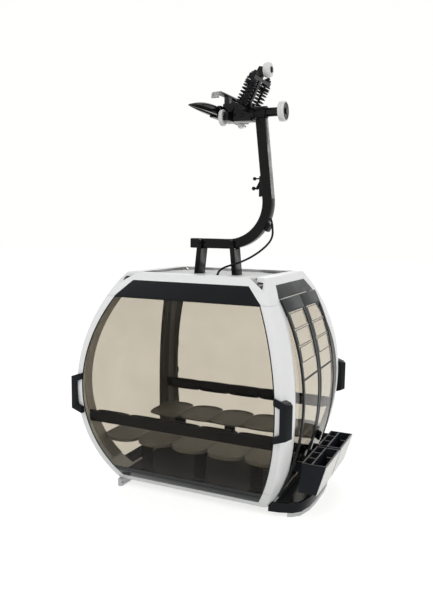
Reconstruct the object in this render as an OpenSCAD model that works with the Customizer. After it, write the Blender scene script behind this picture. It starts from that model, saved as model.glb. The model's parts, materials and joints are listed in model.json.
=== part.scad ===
// Collector's model of a ten-seat gondola cabin on its hanger arm and detachable rope grip.
// X runs across the cabin with the doors at +X, Y runs along the rope, Z is up.
// Heights below are above the level surface that the runners would stand on.
// The finished part is hung so that its origin is the middle of the rope in the grip.

/* [Cabin shell] */
// Half width of the cabin at its widest level, from the middle to the door wall
half_width = 139.3; // [125:0.1:155]
// Half length of the cabin at its widest level, from the middle to an end window
half_length = 124.6; // [110:0.1:140]
// Radius of the bulge of the two side walls, seen from an end
side_bulge_r = 251.9; // [230:0.1:300]
// Height of the widest level of the side walls
side_belly_z = 136; // [120:1:150]
// Radius of the bulge of the two end walls, seen from a side
end_bulge_r = 218.5; // [200:0.1:260]
// Height of the widest level of the end walls
end_belly_z = 145; // [130:1:155]
// Radius of the bulge of the slanted corner faces
corner_bulge_r = 222.5; // [200:0.1:260]
// Height of the widest level of the corner faces
corner_belly_z = 138.5; // [125:0.5:150]
// Angle between a side wall and the slanted corner face beside it
corner_turn = 12.5; // [8:0.5:18]
// Distance of a corner ridge inside the widest side wall
ridge_set = 5.8; // [4:0.1:8]
// Thickness of the moulded pillars and frames
wall = 2.8; // [2:0.1:4]
// Thickness of the window panes
glass_t = 1.6; // [1:0.1:2.4]
// Width of a pillar's end face, from the side wall to an end window
pillar_face_w = 13; // [9:0.5:18]
// Width of a pillar's side face, from the end wall to a side window
pillar_side_w = 33; // [24:0.5:36]

/* [Levels] */
// Lower edge of the bottom frame
base_z = 9.5; // [8:0.5:12]
// Lower edge of the black sill strips
sill_z = 16.7; // [14:0.1:20]
// Lower edge of the window panes
pane_z = 27; // [24:0.5:31]
// Seam between the bottom frame and the pillars
low_seam_z = 33.4; // [31.5:0.1:40]
// Seam between the pillars and the roof cap
top_seam_z = 252; // [248:0.5:256]
// Upper edge of the black header strips
header_top_z = 272; // [268:0.5:274]
// Top of the roof cap
roof_z = 281; // [277:0.5:285]

/* [Doors] */
// Width of one door leaf
leaf_w = 68.4; // [60:0.2:72]
// Thickness of a door leaf's frame
leaf_t = 2.2; // [1.8:0.1:3]
// Running gap between the side wall and the door leaves
leaf_gap = 0.6; // [0.4:0.1:1.2]
// Width of the stiles of a leaf
stile_w = 6; // [4:0.5:9]
// Lower end of a leaf
leaf_low_z = 22; // [20:0.5:26]
// Upper end of a leaf
leaf_top_z = 257; // [254:0.5:258]
// Height of the divider between a leaf's upper and lower panes
divider_z = 165; // [140:1:190]

/* [Ski racks] */
// Reach of a rack's outer wall from the middle of the cabin, at its top
rack_reach = 170.7; // [166:0.1:178]
// Reach of a rack's inner wall, at its top
rack_inner = 140.5; // [138:0.1:144]
// Level of a rack's rim
rack_top_z = 67.5; // [62:0.5:74]
// Level of a rack's floor
rack_low_z = 31; // [27:0.5:36]
// Thickness of a rack's walls
rack_wall = 1.8; // [1.4:0.1:2.4]

/* [Seats] */
// Level of the seat rims
seat_z = 69; // [60:0.5:78]
// Distance of a seat's front edge from the middle of the cabin
seat_front = 34; // [30:0.5:40]
// Depth of a seat
seat_depth = 66; // [58:0.5:68]
// Width of one seat pan
seat_w = 49; // [44:0.5:50]
// Level of the middle of the backrest bands
back_z = 97; // [90:0.5:110]

/* [Hanger] */
// Level of the middle of the hanger's horizontal beam
beam_z = 317.2; // [312:0.1:326]
// Height of the hanger tube in its plane
tube_h = 12.6; // [11:0.1:15]
// Width of the hanger tube along the rope
tube_w = 14; // [12:0.5:18]
// Radius of the bend at the middle of the tube
bend_r = 52; // [44:0.5:60]
// Lean of the upright arm towards the cabin's middle
arm_lean = 6.7; // [4:0.1:9]
// Level of the grip's axle
axle_z = 479; // [465:0.5:490]
// Radius of the grip's axle
axle_r = 5.4; // [4.5:0.1:5.8]
// Radial running clearance of the axle in the hanger's head
axle_gap = 0.06; // [0.03:0.01:0.1]

/* [Grip] */
// Level of the rope's middle
rope_z = 477; // [472:0.5:482]
// Radius of the rope that the jaws close on
rope_r = 2.8; // [2:0.1:3.4]
// Length of the jaws along the rope
jaw_len = 30; // [26:1:36]
// Reach of a tongue's tip from the middle of the grip
tongue_reach = 87; // [78:1:92]
// Radius of the outer wheel
outer_wheel_r = 12; // [10:0.1:14]
// Radius of the two running wheels
run_wheel_r = 9.8; // [9:0.1:11]
// Radius of the roller on the clamp lever
roller_r = 9.2; // [7:0.1:11]
// Outer radius of the two clamp springs
spring_r = 7.6; // [6:0.1:8.5]
// Length of the clamp springs
spring_len = 31; // [26:0.5:36]
// Lean of the springs from the upright
spring_lean = 26.5; // [22:0.5:32]

/* [Hidden] */
// Room left between pieces that are fitted to each other
fit = 0.1;
far = 700;
round_fn = 96;
arc_fn = 240;

corner_reach = (half_width - ridge_set) * cos(corner_turn) + half_length * sin(corner_turn);
leaf_out = leaf_gap + leaf_t;
door_edge_y = leaf_w + 0.6;

// Seat columns: middle of each of the five pans along X
seat_xs = [for (i = [-2:2]) i * seat_w];

// Hanger arm: the bend's middle is set so that the arm meets the grip's axle
arm_len = (axle_z - beam_z - bend_r - bend_r * sin(arm_lean)) / cos(arm_lean);
head_x = 55.5;
bend_x = head_x + arm_len * sin(arm_lean) - bend_r * cos(arm_lean);
bend_z = beam_z + bend_r;
beam_end_x = -38;
post_x_top = 22.6;
post_x_low = 27.6;
post_w = 6.2;
post_depth = 22;

// Head sleeve, axle and outer wheel, as distances along X
head_w = 15;
head_r = 7.6;
axle_in_x = 28;
wheel_in_x = 80;
outer_wheel_w = 7.8;
stub_r = 2.6;
stub_gap = 0.06;

// Running wheels, lever and springs
run_wheel_x = 12.8;
run_wheel_front_y = -20;
run_wheel_rear_y = 38;
run_wheel_front_z = 472;
run_wheel_rear_z = 477;
run_wheel_w = 4.4;
frame_x1 = 45;
frame_half_y = 8.6;
spring_y = 22;
spring_foot = [37.2, 486];
roller_x = 63.3;
roller_z = 529;
roller_w = 9;
lever_t = 7;

// Bumper outlines: plan of the grip section, and front view of the whole loop, from the ridge level
bumper_mid_z = 132;
bumper_half_h = 25.5;
grip_half_h = 19.5;

// Route of the door cable, from the clamp on the bend to the gland in the roof: X, Y, Z
cable_r = 1.3;
cable_pts = [
  [71.4, 0, 349.5], [73.2, -1, 345], [75.4, -4, 337.5], [77, -8, 330], [76, -12, 323],
  [71.5, -16, 315.8], [63.5, -19, 308.4], [53.5, -22, 301.5], [42.5, -24, 296], [31.5, -26, 292],
  [22.5, -27.5, 288.8], [16.5, -28, 285.4], [13, -28, 281.2], [12, -28, 277.5], [12, -28, 274.4],
];
gland_x = 12;
gland_y = -28;
deck_z = 271;

// ---------------------------------------------------------------- helpers

// Everything is drawn at its height above the ground and then hung on the rope
module hung() {
  translate([0, 0, -rope_z]) children();
}

module block(x0, x1, y0, y1, z0, z1) {
  translate([x0, y0, z0]) cube([x1 - x0, y1 - y0, z1 - z0]);
}

module slab(z0, z1) {
  block(-far / 2, far / 2, -far / 2, far / 2, z0, z1);
}

// A round bar along X from x0 to x1
module bar_x(x0, x1, y, z, r) {
  translate([x0, y, z]) rotate([0, 90, 0]) cylinder(h = x1 - x0, r = r, $fn = round_fn);
}

// A round bar along Y from y0 to y1
module bar_y(y0, y1, x, z, r) {
  translate([x, y0, z]) rotate([-90, 0, 0]) cylinder(h = y1 - y0, r = r, $fn = round_fn);
}

// The room between two opposite bulging walls that face along X
module bulge(reach, r, z, inset) {
  intersection_for (side = [-1, 1])
    translate([side * (reach - r), 0, z])
      rotate([90, 0, 0])
        cylinder(h = far, r = r - inset, center = true, $fn = arc_fn);
}

module side_bulge(inset) {
  bulge(half_width, side_bulge_r, side_belly_z, inset);
}

module end_bulge(inset) {
  rotate([0, 0, 90]) bulge(half_length, end_bulge_r, end_belly_z, inset);
}

// The whole cabin's form, with every wall moved in by inset
module cabin_form(inset) {
  intersection() {
    side_bulge(inset);
    end_bulge(inset);
    rotate([0, 0, corner_turn]) bulge(corner_reach, corner_bulge_r, corner_belly_z, inset);
    rotate([0, 0, -corner_turn]) bulge(corner_reach, corner_bulge_r, corner_belly_z, inset);
  }
}

// A band of the cabin's skin between two levels
module skin(z0, z1, t) {
  intersection() {
    difference() {
      cabin_form(0);
      cabin_form(t);
    }
    slab(z0, z1);
  }
}

// The part of space in front of an end window (side = -1 front, 1 rear)
module end_opening(side, inset) {
  intersection() {
    side_bulge(pillar_face_w + inset);
    block(-far / 2, far / 2, side > 0 ? 0 : -far / 2, side > 0 ? far / 2 : 0, 0, far);
  }
}

// The part of space beside a side window (side = -1 left, 1 door side)
module side_opening(side, inset) {
  intersection() {
    end_bulge(pillar_side_w + inset);
    block(side > 0 ? 0 : -far / 2, side > 0 ? far / 2 : 0, -far / 2, far / 2, 0, far);
  }
}

// ---------------------------------------------------------------- cabin shell

module pillar(sx, sy) {
  color("whitesmoke") hung() difference() {
    intersection() {
      skin(low_seam_z + fit, top_seam_z - fit, wall);
      block(sx > 0 ? 0 : -far / 2, sx > 0 ? far / 2 : 0, sy > 0 ? 0 : -far / 2, sy > 0 ? far / 2 : 0, 0, far);
    }
    end_opening(sy, 0);
    side_opening(sx, 0);
  }
}

lining_t = 1.6;

// Dark trim inside the side face of each pillar
module pillar_linings() {
  color([0.13, 0.13, 0.13]) hung() difference() {
    intersection() {
      cabin_form(wall + fit);
      end_bulge(pillar_side_w / 2);
      slab(low_seam_z + 2, top_seam_z - 2);
    }
    cabin_form(wall + fit + lining_t);
    end_bulge(pillar_side_w);
  }
}

module end_window(side) {
  color([0.6, 0.55, 0.48, 0.5]) hung() intersection() {
    skin(pane_z, top_seam_z - fit, glass_t);
    end_opening(side, fit);
  }
}

module side_window() {
  color([0.6, 0.55, 0.48, 0.5]) hung() intersection() {
    skin(pane_z, leaf_top_z, glass_t);
    side_opening(-1, fit);
  }
}

// A fixed strip of glass beside the doors, reaching a little behind the leaf
module side_glass(side) {
  lap = 5;
  color([0.6, 0.55, 0.48, 0.5]) hung() intersection() {
    skin(pane_z, leaf_top_z, glass_t);
    side_opening(1, fit);
    block(0, far / 2, side > 0 ? door_edge_y - lap : -far / 2, side > 0 ? far / 2 : lap - door_edge_y, 0, far);
  }
}

// Outline of a header strip: half width at its lower and upper edge, facing along Y
module header_room(half_low, half_high, z0, z1, grow) {
  rotate([90, 0, 0])
    linear_extrude(height = far, center = true)
      polygon([
        [-half_low - grow, z0 - grow], [half_low + grow, z0 - grow],
        [half_high + grow, z1 + grow], [-half_high - grow, z1 + grow],
      ]);
}

end_header_low = 97.4;
end_header_high = 77;
side_header_low = 69;
side_header_high = 55;

module end_header_room(side, grow) {
  intersection() {
    header_room(end_header_low, end_header_high, top_seam_z, header_top_z, grow);
    block(-far / 2, far / 2, side > 0 ? 0 : -far / 2, side > 0 ? far / 2 : 0, 0, far);
  }
}

module side_header_room(side, grow) {
  intersection() {
    rotate([0, 0, 90]) header_room(side_header_low, side_header_high, leaf_top_z + fit, header_top_z, grow);
    block(side > 0 ? 0 : -far / 2, side > 0 ? far / 2 : 0, -far / 2, far / 2, 0, far);
  }
}

module end_header(side) {
  color([0.05, 0.06, 0.08]) hung() intersection() {
    skin(top_seam_z, header_top_z, wall);
    end_header_room(side, 0);
  }
}

module headers_side() {
  color([0.2, 0.2, 0.2]) hung() for (side = [-1, 1])
    intersection() {
      skin(leaf_top_z + fit, header_top_z, wall);
      side_header_room(side, 0);
    }
}

notch_half_w = 7;
notch_depth = 14;
notch_turn = 42;

// A V cut through the roof cap on each corner
module corner_notches() {
  for (turn = [notch_turn, 180 - notch_turn, 180 + notch_turn, -notch_turn])
    rotate([0, 0, turn])
      translate([100, 0, 0])
        rotate([90, 0, 90])
          linear_extrude(height = far / 2)
            polygon([
              [-notch_half_w * 1.5, roof_z + notch_depth / 2], [0, roof_z - notch_depth],
              [notch_half_w * 1.5, roof_z + notch_depth / 2],
            ]);
}

roof_rim_w = 12;

module roof_cap() {
  color("whitesmoke") hung() difference() {
    union() {
      skin(top_seam_z + fit, roof_z, wall);
      // the rolled rim round the top
      intersection() {
        difference() {
          cabin_form(0);
          cabin_form(roof_rim_w);
        }
        slab(header_top_z + 4, roof_z);
      }
    }
    for (side = [-1, 1]) {
      end_header_room(side, fit);
      side_header_room(side, fit);
      // room for the side panes and the door leaves below the headers
      intersection() {
        side_opening(side, 0);
        slab(0, leaf_top_z + fit);
      }
    }
    corner_notches();
  }
}

deck_t = 2;
rib_half_w = 6;

// Light deck with its diagonal ribs, over dark troughs that run to the corners
module roof_deck() {
  color("gainsboro") hung() difference() {
    union() {
      intersection() {
        cabin_form(wall + fit);
        slab(deck_z - deck_t, deck_z);
      }
      intersection() {
        cabin_form(roof_rim_w + fit);
        union() {
          translate([0, 0, deck_z - fit])
            linear_extrude(height = roof_z - 3 - deck_z)
              polygon([
                [-84, -20], [-50, -48], [-24, -74], [24, -74], [50, -48], [84, -20],
                [84, 20], [50, 48], [24, 74], [-24, 74], [-50, 48], [-84, 20],
              ]);
          for (turn = [notch_turn, -notch_turn])
            rotate([0, 0, turn]) block(-105, 105, -rib_half_w, rib_half_w, deck_z - fit, roof_z - 4);
        }
      }
    }
    // seats of the hanger's posts and of the cable's gland
    for (side = [-1, 1])
      block(side * post_x_low - 4.4, side * post_x_low + 4.4, -post_depth / 2 - fit, post_depth / 2 + fit, deck_z, roof_z);
    translate([gland_x, gland_y, deck_z]) cylinder(h = 20, r = gland_r + fit, $fn = round_fn);
  }
}

module sill_strips() {
  color([0.05, 0.06, 0.08]) hung() {
    for (side = [-1, 1])
      intersection() {
        skin(sill_z, pane_z - fit, wall);
        end_opening(side, fit);
      }
    intersection() {
      skin(sill_z, pane_z - fit, wall);
      side_opening(-1, fit);
    }
  }
}

module bottom_frame() {
  color("whitesmoke") hung() difference() {
    skin(base_z, low_seam_z - fit, wall);
    for (side = [-1, 1])
      intersection() {
        end_opening(side, 0);
        slab(sill_z - fit, low_seam_z);
      }
    for (side = [-1, 1])
      intersection() {
        side_opening(side, 0);
        slab(sill_z - fit, low_seam_z);
      }
  }
}

floor_t = 4;

module floor_pan() {
  color([0.12, 0.12, 0.12]) hung() intersection() {
    cabin_form(wall + fit);
    slab(base_z + 1, base_z + 1 + floor_t);
  }
}

// ---------------------------------------------------------------- seats

pan_t = 6;
floor_top = base_z + 1 + floor_t;
leg_w = 15;
leg_t = 5;
leg_y = 11;

module seat_pan(x) {
  half = seat_w / 2 - 0.6;
  translate([x, 0, 0]) difference() {
    union() {
      block(-half, half, 0, seat_depth - half, seat_z - pan_t, seat_z);
      translate([0, seat_depth - half, seat_z - pan_t]) cylinder(h = pan_t, r = half, $fn = round_fn);
    }
    translate([0, seat_depth * 0.52, seat_z + 50]) sphere(r = 53.4, $fn = round_fn);
  }
}

// One bench with its front edge at Y = 0 and its back towards +Y
module bench() {
  for (x = seat_xs) seat_pan(x);
  half = seat_w * 2.5 - 0.6;
  block(-half, half, 0, 4, seat_z - pan_t - 2, seat_z - pan_t / 2);
  block(-half, half, leg_y, leg_y + leg_t, seat_z - pan_t - 6, seat_z - pan_t + 1);
  for (x = [-1.6, 0, 1.6] * seat_w)
    block(x - leg_w / 2, x + leg_w / 2, leg_y, leg_y + leg_t, floor_top, seat_z - pan_t + 1);
}

module bench_at(side) {
  color([0.3, 0.28, 0.25]) hung()
    rotate([0, 0, side > 0 ? 0 : 180])
      translate([0, seat_front, 0])
        bench();
}

back_h = 14;
back_y = 97;

// A padded band across the cabin, held between the two pillars of its end
module backrest_at(side) {
  color([0.08, 0.08, 0.08]) hung()
    rotate([0, 0, side > 0 ? 0 : 180])
      intersection() {
        union() {
          block(-140, 140, back_y, back_y + 6, back_z - back_h / 2 + 2, back_z + back_h / 2 - 2);
          for (x = seat_xs)
            translate([x, back_y + 3, back_z])
              rotate([0, 90, 0])
                cylinder(h = seat_w - 3, r = back_h / 2, center = true, $fn = round_fn);
        }
        cabin_form(wall + 2 * fit + lining_t);
        block(-140, 140, back_y - 2, back_y + 7, 0, 300);
      }
}

// ---------------------------------------------------------------- bumpers, tray and runners

// Bumper on the corner (+X, -Y): a plan section cut to the front view of the loop
module bumper_loop() {
  difference() {
    intersection() {
      linear_extrude(height = 300)
        polygon([
          [half_width - 14, -half_length - 3.2], [half_width + 0.8, -half_length - 3.2],
          [half_width + 5.6, -half_length + 4.8], [half_width + 1.2, -half_length + 11],
          [half_width - 14, -half_length + 11],
        ]);
      rotate([90, 0, 0])
        linear_extrude(height = far, center = true)
          polygon([
            [half_width - 14, bumper_mid_z - bumper_half_h], [half_width + 6, bumper_mid_z - grip_half_h + 1],
            [half_width + 6, bumper_mid_z + grip_half_h - 1], [half_width - 14, bumper_mid_z + bumper_half_h],
          ]);
    }
    // finger room between the grip bar and the window's edge
    rotate([90, 0, 0])
      linear_extrude(height = far, center = true)
        polygon([
          [half_width - 15, bumper_mid_z - bumper_half_h + 7.4], [half_width - 6.5, bumper_mid_z - grip_half_h + 5],
          [half_width - 6.5, bumper_mid_z + grip_half_h - 5], [half_width - 15, bumper_mid_z + bumper_half_h - 7.4],
        ]);
    cabin_form(-fit);
  }
}

module bumpers() {
  color([0.06, 0.07, 0.08]) hung()
    for (flip_x = [0, 1])
      for (flip_y = [0, 1])
        mirror([flip_x, 0, 0]) mirror([0, flip_y, 0]) bumper_loop();
}

// Plan of the tray's edge: distance out from the cabin's middle and half width there
tray_plan = [[104, 76], [117, 74], [132, 68.5], [140, 60], [145, 42], [147, 20]];
tray_low_z = 5;
tray_lip_z = 17;
tray_wall = 2.4;
runner_in = 7;

module tray_outline(inset) {
  polygon(concat(
    [for (p = tray_plan) [p[0] - inset, -p[1] + inset]],
    [for (i = [len(tray_plan) - 1:-1:0]) [tray_plan[i][0] - inset, tray_plan[i][1] - inset]]
  ));
}

module door_tray() {
  color([0.04, 0.04, 0.05]) hung() difference() {
    translate([0, 0, tray_low_z]) linear_extrude(height = tray_lip_z - tray_low_z) tray_outline(0);
    translate([0, 0, tray_low_z + 3]) linear_extrude(height = 40) tray_outline(tray_wall);
    cabin_form(-fit);
  }
}

module runners() {
  color("silver") hung() {
    // under the tray's edge
    linear_extrude(height = tray_low_z - fit)
      difference() {
        tray_outline(0.6);
        tray_outline(runner_in);
        translate([0, -far / 2]) square([126, far]);
      }
    // on the far side, a bar with rounded ends and a hole near each end
    difference() {
      union() {
        block(-103.5, -96.5, -80, 80, 0, base_z - fit);
        for (y = [-80, 80]) translate([-100, y, 0]) cylinder(h = base_z - fit, r = 3.5, $fn = round_fn);
      }
      for (y = [-80, 80]) bar_x(-110, -90, y, base_z / 2, 1.4);
    }
  }
}

// ---------------------------------------------------------------- doors and racks

// The curved layer that the leaves run in, from in to out beyond the side wall
module leaf_layer(in, out) {
  difference() {
    side_bulge(-out);
    side_bulge(-in);
  }
}

function leaf_y0(side) = side > 0 ? 0.6 : -0.6 - leaf_w;
function leaf_y1(side) = side > 0 ? 0.6 + leaf_w : -0.6;

rail_h = 7;
header_h = 15;
pane_inset = 0.5;

module door_frame(side) {
  y0 = leaf_y0(side);
  y1 = leaf_y1(side);
  color([0.1, 0.1, 0.1]) hung() difference() {
    intersection() {
      leaf_layer(leaf_gap, leaf_out);
      block(0, far / 2, y0, y1, leaf_low_z, leaf_top_z);
    }
    block(0, far / 2, y0 + stile_w, y1 - stile_w, leaf_low_z + rail_h, divider_z - 1);
    block(0, far / 2, y0 + stile_w, y1 - stile_w, divider_z + 1, leaf_top_z - header_h);
  }
}

module door_glass(side) {
  y0 = leaf_y0(side) + stile_w + fit;
  y1 = leaf_y1(side) - stile_w - fit;
  color([0.6, 0.55, 0.48, 0.5]) hung() intersection() {
    leaf_layer(leaf_gap + 0.2, leaf_out - pane_inset);
    union() {
      block(0, far / 2, y0, y1, leaf_low_z + rail_h + fit, divider_z - 1 - fit);
      block(0, far / 2, y0, y1, divider_z + 1 + fit, leaf_top_z - header_h - fit);
    }
  }
}

rack_low_in = 137;
rack_low_out = 160;
rack_y0 = 2.4;
rack_y1 = 66;
rack_split = 151.5;

// The rack's section: reach of a wall at level z, for the outer and inner wall
function rack_out_x(z) = rack_low_out + (rack_reach - rack_low_out) * (z - rack_low_z) / (rack_top_z - rack_low_z);
function rack_in_x(z) = rack_low_in + (rack_inner - rack_low_in) * (z - rack_low_z) / (rack_top_z - rack_low_z);

module rack_section(grow_in, grow_out, z0, z1, y0, y1) {
  translate([0, y1, 0])
    rotate([90, 0, 0])
      linear_extrude(height = y1 - y0)
        polygon([
          [rack_in_x(z0) + grow_in, z0], [rack_out_x(z0) - grow_out, z0],
          [rack_out_x(z1) - grow_out, z1], [rack_in_x(z1) + grow_in, z1],
        ]);
}

// The rack of the rear leaf; the front one is its mirror image
module rack_body() {
  cell = (rack_y1 - rack_y0 - 4 * rack_wall) / 3;
  difference() {
    union() {
      rack_section(0, 1, rack_low_z, rack_top_z, rack_y0, rack_y1);
      // arms back to the leaf
      for (y = [rack_y0 + 8, rack_y1 - 10])
        block(120, rack_inner + 1, y, y + 3, rack_top_z - 14, rack_top_z - 2);
    }
    // three narrow slots on the cabin's side
    for (i = [0:2])
      intersection() {
        rack_section(rack_wall, 0, rack_low_z + rack_wall, rack_top_z + 5, rack_y0 + rack_wall + i * (cell + rack_wall),
                     rack_y0 + rack_wall + i * (cell + rack_wall) + cell);
        block(0, rack_split, -far, far, 0, far);
      }
    // one wide slot outside, with a short tongue in its middle
    difference() {
      intersection() {
        rack_section(0, 1 + rack_wall, rack_low_z + rack_wall, rack_top_z + 5, rack_y0 + rack_wall, rack_y1 - rack_wall);
        block(rack_split + rack_wall, far, -far, far, 0, far);
      }
      block(rack_reach - 9, rack_reach, (rack_y0 + rack_y1) / 2 - 0.9, (rack_y0 + rack_y1) / 2 + 0.9, 0, far);
    }
    side_bulge(-leaf_out - fit);
  }
}

module rack(side) {
  color([0.09, 0.1, 0.12]) hung() mirror([0, side > 0 ? 0 : 1, 0]) rack_body();
}

// Pale plate on the outer face of a rack
module rack_cover(side) {
  color("gainsboro") hung() mirror([0, side > 0 ? 0 : 1, 0])
    difference() {
      rack_section(0, 0, rack_low_z, rack_top_z - 0.6, rack_y0, rack_y1);
      rack_section(-50, 1 - fit, rack_low_z - 1, rack_top_z + 1, rack_y0 - 1, rack_y1 + 1);
    }
}

// ---------------------------------------------------------------- hanger

module hanger_arm() {
  color([0.06, 0.06, 0.06]) hung() {
    block(beam_end_x, bend_x, -tube_w / 2, tube_w / 2, beam_z - tube_h / 2, beam_z + tube_h / 2);
    // the bend
    translate([bend_x, 0, bend_z])
      rotate([90, 0, 0])
        rotate([0, 0, -90])
          rotate_extrude(angle = 90 + arm_lean, $fn = arc_fn)
            translate([bend_r - tube_h / 2, -tube_w / 2])
              square([tube_h, tube_w]);
    // the upright arm, up to the head
    translate([bend_x + bend_r * cos(arm_lean), 0, bend_z + bend_r * sin(arm_lean)])
      rotate([0, -arm_lean, 0])
        block(-tube_h / 2, tube_h / 2, -tube_w / 2, tube_w / 2, 0, arm_len - head_r + 0.6);
  }
}

module hanger_head() {
  color([0.06, 0.06, 0.06]) hung() difference() {
    union() {
      bar_x(head_x - head_w / 2, head_x + head_w / 2, 0, axle_z, head_r);
      intersection() {
        translate([head_x, 0, axle_z]) rotate([0, -arm_lean, 0])
          block(-tube_h / 2, tube_h / 2, -tube_w / 2 , tube_w / 2, -head_r + 0.6 + fit, 0);
        slab(axle_z - 20, axle_z);
      }
    }
    bar_x(0, 100, 0, axle_z, axle_r + axle_gap);
    // the arm's end butts on the head
    translate([head_x, 0, axle_z]) rotate([0, -arm_lean, 0])
      block(-40, 40, -20, 20, -40, -head_r + 0.6 + fit);
  }
}

// Two splayed posts that fork round the beam
module hanger_posts() {
  color([0.07, 0.07, 0.07]) hung() for (side = [-1, 1])
    difference() {
      rotate([90, 0, 0])
        linear_extrude(height = post_depth, center = true)
          polygon([
            [side * post_x_low - post_w / 2, deck_z + fit], [side * post_x_low + post_w / 2, deck_z + fit],
            [side * post_x_top + post_w / 2, beam_z + 2], [side * post_x_top + post_w / 2 - 1.5, beam_z + 5],
            [side * post_x_top - post_w / 2 + 1.5, beam_z + 5], [side * post_x_top - post_w / 2, beam_z + 2],
          ]);
      // slot for the beam
      block(-60, 60, -tube_w / 2 - fit, tube_w / 2 + fit, beam_z - tube_h / 2 - fit, beam_z + 40);
    }
}

release_z = 390;

// A small spring-loaded release on the inner face of the arm
module release_lever() {
  arm_x = bend_x + bend_r * cos(arm_lean) - (release_z - bend_z - bend_r * sin(arm_lean)) * tan(arm_lean) - tube_h / 2;
  color([0.05, 0.05, 0.05]) hung() {
    difference() {
      union() {
        block(arm_x - 4, arm_x + 4, -2.5, 2.5, release_z - 13, release_z + 12);
        bar_x(arm_x - 11, arm_x, 0, release_z + 9, 0.9);
        bar_x(arm_x - 11, arm_x, 0, release_z - 3, 1.2);
        translate([arm_x - 11, 0, release_z + 9]) sphere(r = 2.3, $fn = 48);
        translate([arm_x - 12, 0, release_z - 3]) sphere(r = 2.5, $fn = 48);
        translate([arm_x - 5, 0, release_z + 2]) rotate([0, 28, 0]) cylinder(h = 14, r = 1.6, center = true, $fn = 48);
        translate([arm_x - 3.4, 0, release_z - 13.5]) cylinder(h = 10, r = 0.9, $fn = 48);
      }
      // face that lies on the arm
      translate([head_x, 0, axle_z]) rotate([0, -arm_lean, 0]) block(-tube_h / 2 - fit, 60, -30, 30, -120, 20);
    }
  }
}

clamp_turn = 30;

// P-clip that holds the door cable on the outside of the bend
module cable_clamp() {
  color([0.05, 0.05, 0.05]) hung()
    difference() {
      union() {
        translate([bend_x, 0, bend_z]) rotate([0, clamp_turn, 0])
          block(bend_r + tube_h / 2 + fit, bend_r + tube_h / 2 + 5, -5, 5, -5, 5);
      }
      // hole that the cable's end sits in
      translate(cable_pts[0]) sphere(r = cable_r + 0.2, $fn = 48);
    }
}

// Cable: rings of eight sides round a smooth curve through the route's points
function route_at(i) = cable_pts[max(0, min(len(cable_pts) - 1, i))];
function spline(i, t) =
  let (a = route_at(i - 1), b = route_at(i), c = route_at(i + 1), d = route_at(i + 2))
  0.5 * (2 * b + (c - a) * t + (2 * a - 5 * b + 4 * c - d) * t * t + (3 * b - a - 3 * c + d) * t * t * t);
function unit(v) = v / norm(v);

cable_steps = 2;
cable_line = concat(
  [for (i = [0:len(cable_pts) - 2]) for (s = [0:cable_steps - 1]) spline(i, s / cable_steps)],
  [cable_pts[len(cable_pts) - 1]]
);
cable_n = len(cable_line);
cable_sides = 8;
function cable_dir(i) = unit(cable_line[min(cable_n - 1, i + 1)] - cable_line[max(0, i - 1)]);
function cable_ring(i) =
  let (d = cable_dir(i), u = unit(cross(d, [0.3, 1, 0.2])), v = cross(d, u))
  [for (k = [0:cable_sides - 1]) cable_line[i] + cable_r * (cos(k * 360 / cable_sides) * u + sin(k * 360 / cable_sides) * v)];

module door_cable() {
  points = [for (i = [0:cable_n - 1]) each cable_ring(i)];
  sides = [for (i = [0:cable_n - 2]) for (k = [0:cable_sides - 1])
    let (a = i * cable_sides + k, b = i * cable_sides + (k + 1) % cable_sides)
    [a, a + cable_sides, b + cable_sides, b]];
  ends = [[for (k = [0:cable_sides - 1]) k],
          [for (k = [0:cable_sides - 1]) cable_n * cable_sides - 1 - k]];
  color([0.04, 0.04, 0.04]) hung() polyhedron(points, concat(sides, ends), convexity = 6);
}

gland_r = 3.4;

module cable_gland() {
  color([0.05, 0.05, 0.05]) hung() translate([gland_x, gland_y, deck_z + fit]) difference() {
    union() {
      cylinder(h = 4.5, r = gland_r, $fn = round_fn);
      translate([0, 0, 4.5]) cylinder(h = 3.5, r1 = gland_r, r2 = 2, $fn = round_fn);
    }
    translate([0, 0, 3]) cylinder(h = 10, r = cable_r + 0.15, $fn = round_fn);
  }
}

// ---------------------------------------------------------------- grip

jaw_reach = 7.5;
jaw_below = 2.2;
jaw_above = 11;

// Jaw on one side of the rope (side = 1 towards the cabin's hanger, -1 outside)
module jaw(side) {
  difference() {
    block(side > 0 ? 0.4 : -jaw_reach, side > 0 ? jaw_reach : -0.4, -jaw_len / 2, jaw_len / 2,
          rope_z - jaw_below, rope_z + jaw_above);
    bar_y(-jaw_len, jaw_len, 0, rope_z, rope_r);
  }
}

module fixed_jaw() {
  color([0.07, 0.07, 0.08]) hung() jaw(1);
}

module moving_jaw() {
  color([0.07, 0.07, 0.08]) hung() jaw(-1);
}

tongue_half_w = 6.5;
tongue_h = 12.5;
tongue_tip_h = 1;

// A pointed gutter over the rope that leads it into the jaws, here towards -Y
module tongue(side) {
  len = tongue_reach - jaw_len / 2;
  back_r = len * len / 2 / (tongue_h - tongue_tip_h);
  plan_r = len * len / 2 / (tongue_half_w - 0.6);
  color([0.06, 0.06, 0.07]) hung() mirror([0, side > 0 ? 1 : 0, 0])
    difference() {
      intersection() {
        block(-20, 20, -tongue_reach, -jaw_len / 2 - fit, rope_z - 0.6, rope_z + 40);
        // the back slopes down to the tip as one arc
        translate([0, -jaw_len / 2, rope_z + tongue_h - back_r])
          rotate([0, 90, 0]) cylinder(h = 60, r = back_r, center = true, $fn = arc_fn);
        // both flanks close in to the tip as arcs
        for_both_flanks(plan_r) cylinder(h = far * 2, r = plan_r, center = true, $fn = arc_fn);
      }
      bar_y(-far / 2, 0, 0, rope_z, rope_r + 0.4);
    }
}

module for_both_flanks(r) {
  intersection_for (flank = [-1, 1])
    translate([flank * (r - tongue_half_w), -jaw_len / 2, 0]) children();
}

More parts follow.
